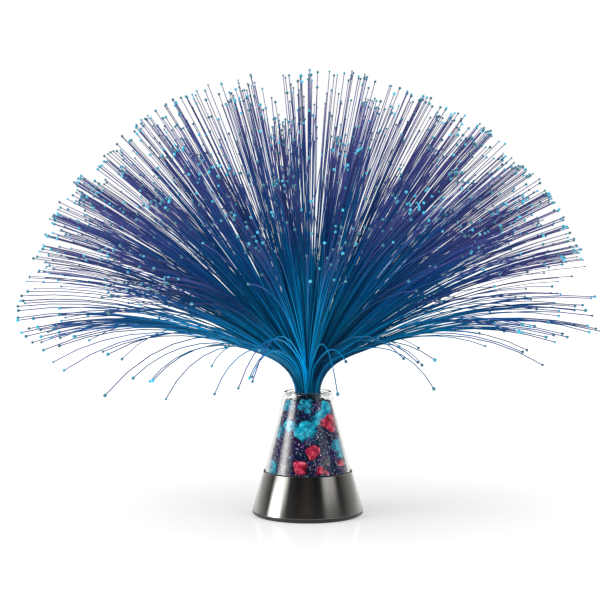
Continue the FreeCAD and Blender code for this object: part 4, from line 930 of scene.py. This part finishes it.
def finish_nodes():
    """Every CAD node that still shows gets its finish, and crisp edges."""
    finishes = (
        (moulded_plastic("black_plastic", (0.012, 0.012, 0.014), 0.34),
         "base_pan battery_door switch_knob bundle_ferrule"),
        (moulded_plastic("white_plastic", (0.72, 0.72, 0.7), 0.45), "upper_tray"),
        (moulded_plastic("black_rubber", (0.01, 0.01, 0.01), 0.75, 0.04 * MM), "rubber_foot seal_ring"),
        (moulded_plastic("component_black", (0.02, 0.02, 0.022), 0.5), "switch_body resistors colour_controller"),
        (plated_metal("zinc_steel", (0.62, 0.62, 0.6), 0.3), "pan_screws board_screws switch_screws"),
        (plated_metal("nickel_steel", (0.72, 0.71, 0.68), 0.2),
         "contact_plus contact_minus bridge_left bridge_right contact_springs"),
        (moulded_plastic("board_green", (0.01, 0.13, 0.05), 0.3, Coat_Weight=0.4), "led_board"),
        (moulded_plastic("led_body", (0.8, 0.8, 0.74), 0.3), "colour_led"),
        (plated_metal("reflector", (0.85, 0.85, 0.86), 0.12), "reflector_cup"),
        (plated_metal("can_aluminium", (0.7, 0.7, 0.72), 0.28), "capacitor"),
        (moulded_plastic("cell_wrap", (0.02, 0.15, 0.075), 0.25, 0.005 * MM, Coat_Weight=0.5),
         "battery_cell_1 battery_cell_2 battery_cell_3"),
        (moulded_plastic("red_sleeve", (0.5, 0.02, 0.02), 0.35), "red_lead"),
        (moulded_plastic("black_sleeve", (0.015, 0.015, 0.015), 0.35), "black_lead"),
        (moulded_plastic("yellow_sleeve", (0.6, 0.42, 0.04), 0.35), "switch_lead"),
        (clear_glass("clear_plastic", (0.97, 0.98, 0.99), 0.02, 1.2), "mouth_ring light_window"),
    )
    for look, names in finishes:
        for node in [nodes[name] for name in names.split()]:
            look.apply(node)
            node.data.shade_smooth()
            node.data.set_sharp_from_angle(angle=math.radians(30))


# --- studio ---

# camera, fitted to the photo's ellipses
CAMERA_AT = (-0.0062, -1.150, 0.219)
CAMERA_DOWN = 0.043
CAMERA_LENS = 87.5

FLOOR_CORNERS = ((-9, -6, 0), (9, -6, 0), (9, 12, 0), (-9, 12, 0))
DOME_RADIUS = 1.7
# how bright the studio looks in a reflection, by azimuth: 0 is the camera's side, right is positive
ROOM_TONES = ((-150, 0.9), (-135, 0.7), (-122, 0.5), (-110, 0.25), (-102, 0.12), (-95, 0.05),
              (-44, 0.04), (-24, 0.012), (24, 0.012), (34, 0.03), (76, 0.04), (86, 0.05), (94, 0.15), (110, 0.34),
              (130, 0.6), (150, 0.9))
LEFT_LIGHT, RIGHT_LIGHT, REAR_LIGHT, TOP_TONE = 12.0, 1.2, 2.0, 0.3
NEUTRAL, WARM = np.array((1.0, 0.98, 0.95)), np.array((1.0, 0.62, 0.38))


def seen_rays(net):
    """1 for rays from the camera or by way of gloss or glass, 0 for the rest."""
    path = net.node("LightPath").outputs
    total = path["Is Camera Ray"]
    for name in ("Is Glossy Ray", "Is Transmission Ray"):
        total = net.node("Math", {0: total, 1: path[name]}, operation="MAXIMUM")
    return total


def build_floor():
    """A white floor with a faint gloss. From below it is clear, so that the underside of the lamp shows."""
    floor = add_mesh("floor", FLOOR_CORNERS, [(0, 1, 2, 3)])
    look = Look("white_floor", (0.86, 0.85, 0.825), Roughness=0.9, Specular_IOR_Level=0.0,
                Emission_Color=(1, 1, 1, 1))
    gloss = look.node("BsdfGlossy", {"Color": (1, 1, 1, 1), "Roughness": 0.13})
    away = look.node("VectorMath", {0: look.place()}, operation="LENGTH").outputs["Value"]
    level = look.node("MapRange", {"Value": away, "From Min": 0.2, "From Max": 1.5, "To Min": 0.37, "To Max": 0.7})
    glow = look.node("Math", {0: seen_rays(look), 1: level}, operation="MULTIPLY")
    look.feed("Emission Strength", glow)
    near = look.node("MapRange", {"Value": away, "From Min": 0.1, "From Max": 0.45, "To Min": 0.1, "To Max": 0.0})
    above = look.node("MixShader", {0: near, 1: look.shader, 2: gloss})
    look.surface(look.node("NewGeometry").outputs["Backfacing"], above, look.node("BsdfTransparent"))
    look.apply(floor)


def build_world():
    world = bpy.data.worlds.new("studio")
    world.use_nodes = True
    net = Net(world.node_tree)
    back = net.tree.nodes["Background"]
    net.link(net.node("MapRange", {"Value": seen_rays(net), "To Min": 0.7, "To Max": 1.0}), back.inputs["Strength"])
    back.inputs["Color"].default_value = (1, 1, 1, 1)
    bpy.context.scene.world = world


def softbox(name, azimuth, elevation, distance, size, radiance, target=(0, 0, 0.06)):
    """A square lamp that faces the target: azimuth 0 is the camera's side, right is positive."""
    lamp = bpy.data.lights.new(name, "AREA")
    lamp.size = size
    lamp.energy = radiance * math.pi * size * size
    panel = add_object(name, lamp)
    a, e = math.radians(azimuth), math.radians(elevation)
    away = Vector((math.sin(a) * math.cos(e), -math.cos(a) * math.cos(e), math.sin(e)))
    panel.location = Vector(target) + away * distance
    panel.rotation_euler = away.to_track_quat("Z", "Y").to_euler()
    panel.visible_glossy = panel.visible_transmission = False


def soft_step(value, start, end):
    """0 up to the start, then smoothly up to 1 at the end."""
    share = np.clip((value - start) / (end - start), 0, 1)
    return share * share * (3 - 2 * share)


def band(value, rise, fall):
    """1 between a soft rise and a soft fall, each given by its start and end."""
    return soft_step(value, *rise) * (1 - soft_step(value, *fall))


def room_tone(azimuth, elevation):
    """The painted studio: dark in front with a warm middle, and lights on the left, right and behind."""
    narrow = 9 * (1 - soft_step(elevation, 15, 17))
    left = band(azimuth, (-96, -74), (-62 - narrow, -47 - narrow)) * (1 - 0.74 * soft_step(elevation, 13.5, 16.8))
    right = band(azimuth, (31, 46), (63, 81)) * (0.03 + 0.97 * soft_step(elevation, 16.5, 17.5))
    turn = np.abs(azimuth)
    rear = band(turn, (130, 138), (146, 154)) * soft_step(elevation, 11, 16)
    back = soft_step(turn, 155, 166) * soft_step(elevation, 4, 10)
    tone = np.interp(azimuth, *zip(*ROOM_TONES)) + LEFT_LIGHT * left + RIGHT_LIGHT * right
    tone = tone * (1 - 0.9 * back) + REAR_LIGHT * rear
    top = soft_step(elevation, 70, 84)
    tone = tone * (1 - top) + TOP_TONE * top
    warm = 0.05 * np.exp(-((azimuth + 2) / 13) ** 2)
    return tone[..., None] * NEUTRAL + warm[..., None] * WARM


def build_dome():
    """The studio as the lamp's gloss sees it, painted on a dome that shows only in reflections."""
    a, e = np.meshgrid(np.arange(-180, 180, 2.0), np.arange(0, 91, 1.5), indexing="ij")
    ways = np.stack([np.sin(np.radians(a)) * np.cos(np.radians(e)),
                     -np.cos(np.radians(a)) * np.cos(np.radians(e)), np.sin(np.radians(e))], axis=2)
    points = (ways * DOME_RADIUS + (0, 0, 0.002)).reshape(-1, 3)
    index = np.arange(a.size).reshape(a.shape)
    after = np.roll(index, -1, axis=0)
    faces = np.stack([index[:, :-1], after[:, :-1], after[:, 1:], index[:, 1:]], axis=2).reshape(-1, 4)
    dome = add_mesh("studio_dome", points, faces.tolist())
    paint(dome, room_tone(a, e).reshape(-1, 3))
    look = Look("studio_dome", (0, 0, 0))
    colour = look.node("VertexColor", layer_name=COLOUR_LAYER)
    bounces = look.node("LightPath").outputs["Glossy Depth"]
    look.surface(look.node("Math", {0: bounces, 1: 0.5}, operation="GREATER_THAN"),
                 look.node("BsdfTransparent"), look.node("Emission", {"Color": colour}))
    look.apply(dome)
    for kind in ("camera", "diffuse", "shadow", "volume_scatter"):
        setattr(dome, "visible_" + kind, False)


def build_camera():
    camera = add_object("camera", bpy.data.cameras.new("camera"))
    camera.location = CAMERA_AT
    camera.rotation_euler = (math.pi / 2 - CAMERA_DOWN, 0, 0)
    camera.data.lens = CAMERA_LENS
    camera.data.sensor_width = 36
    camera.data.clip_start, camera.data.clip_end = 0.01, 60
    bpy.context.scene.camera = camera


build_skirt()
build_glass()
build_tube()
build_grit(build_chips())
build_core()
build_fibres()
finish_nodes()
build_floor()
build_world()
build_dome()
softbox("left_softbox", -70, 28, 1.1, 0.8, 2.5)
softbox("right_softbox", 60, 30, 1.1, 0.8, 1.0)
softbox("top_softbox", 0, 84, 1.3, 1.2, 0.9, (0, 0, 0.25))
build_camera()
bpy.context.scene.view_settings.view_transform = "Standard"
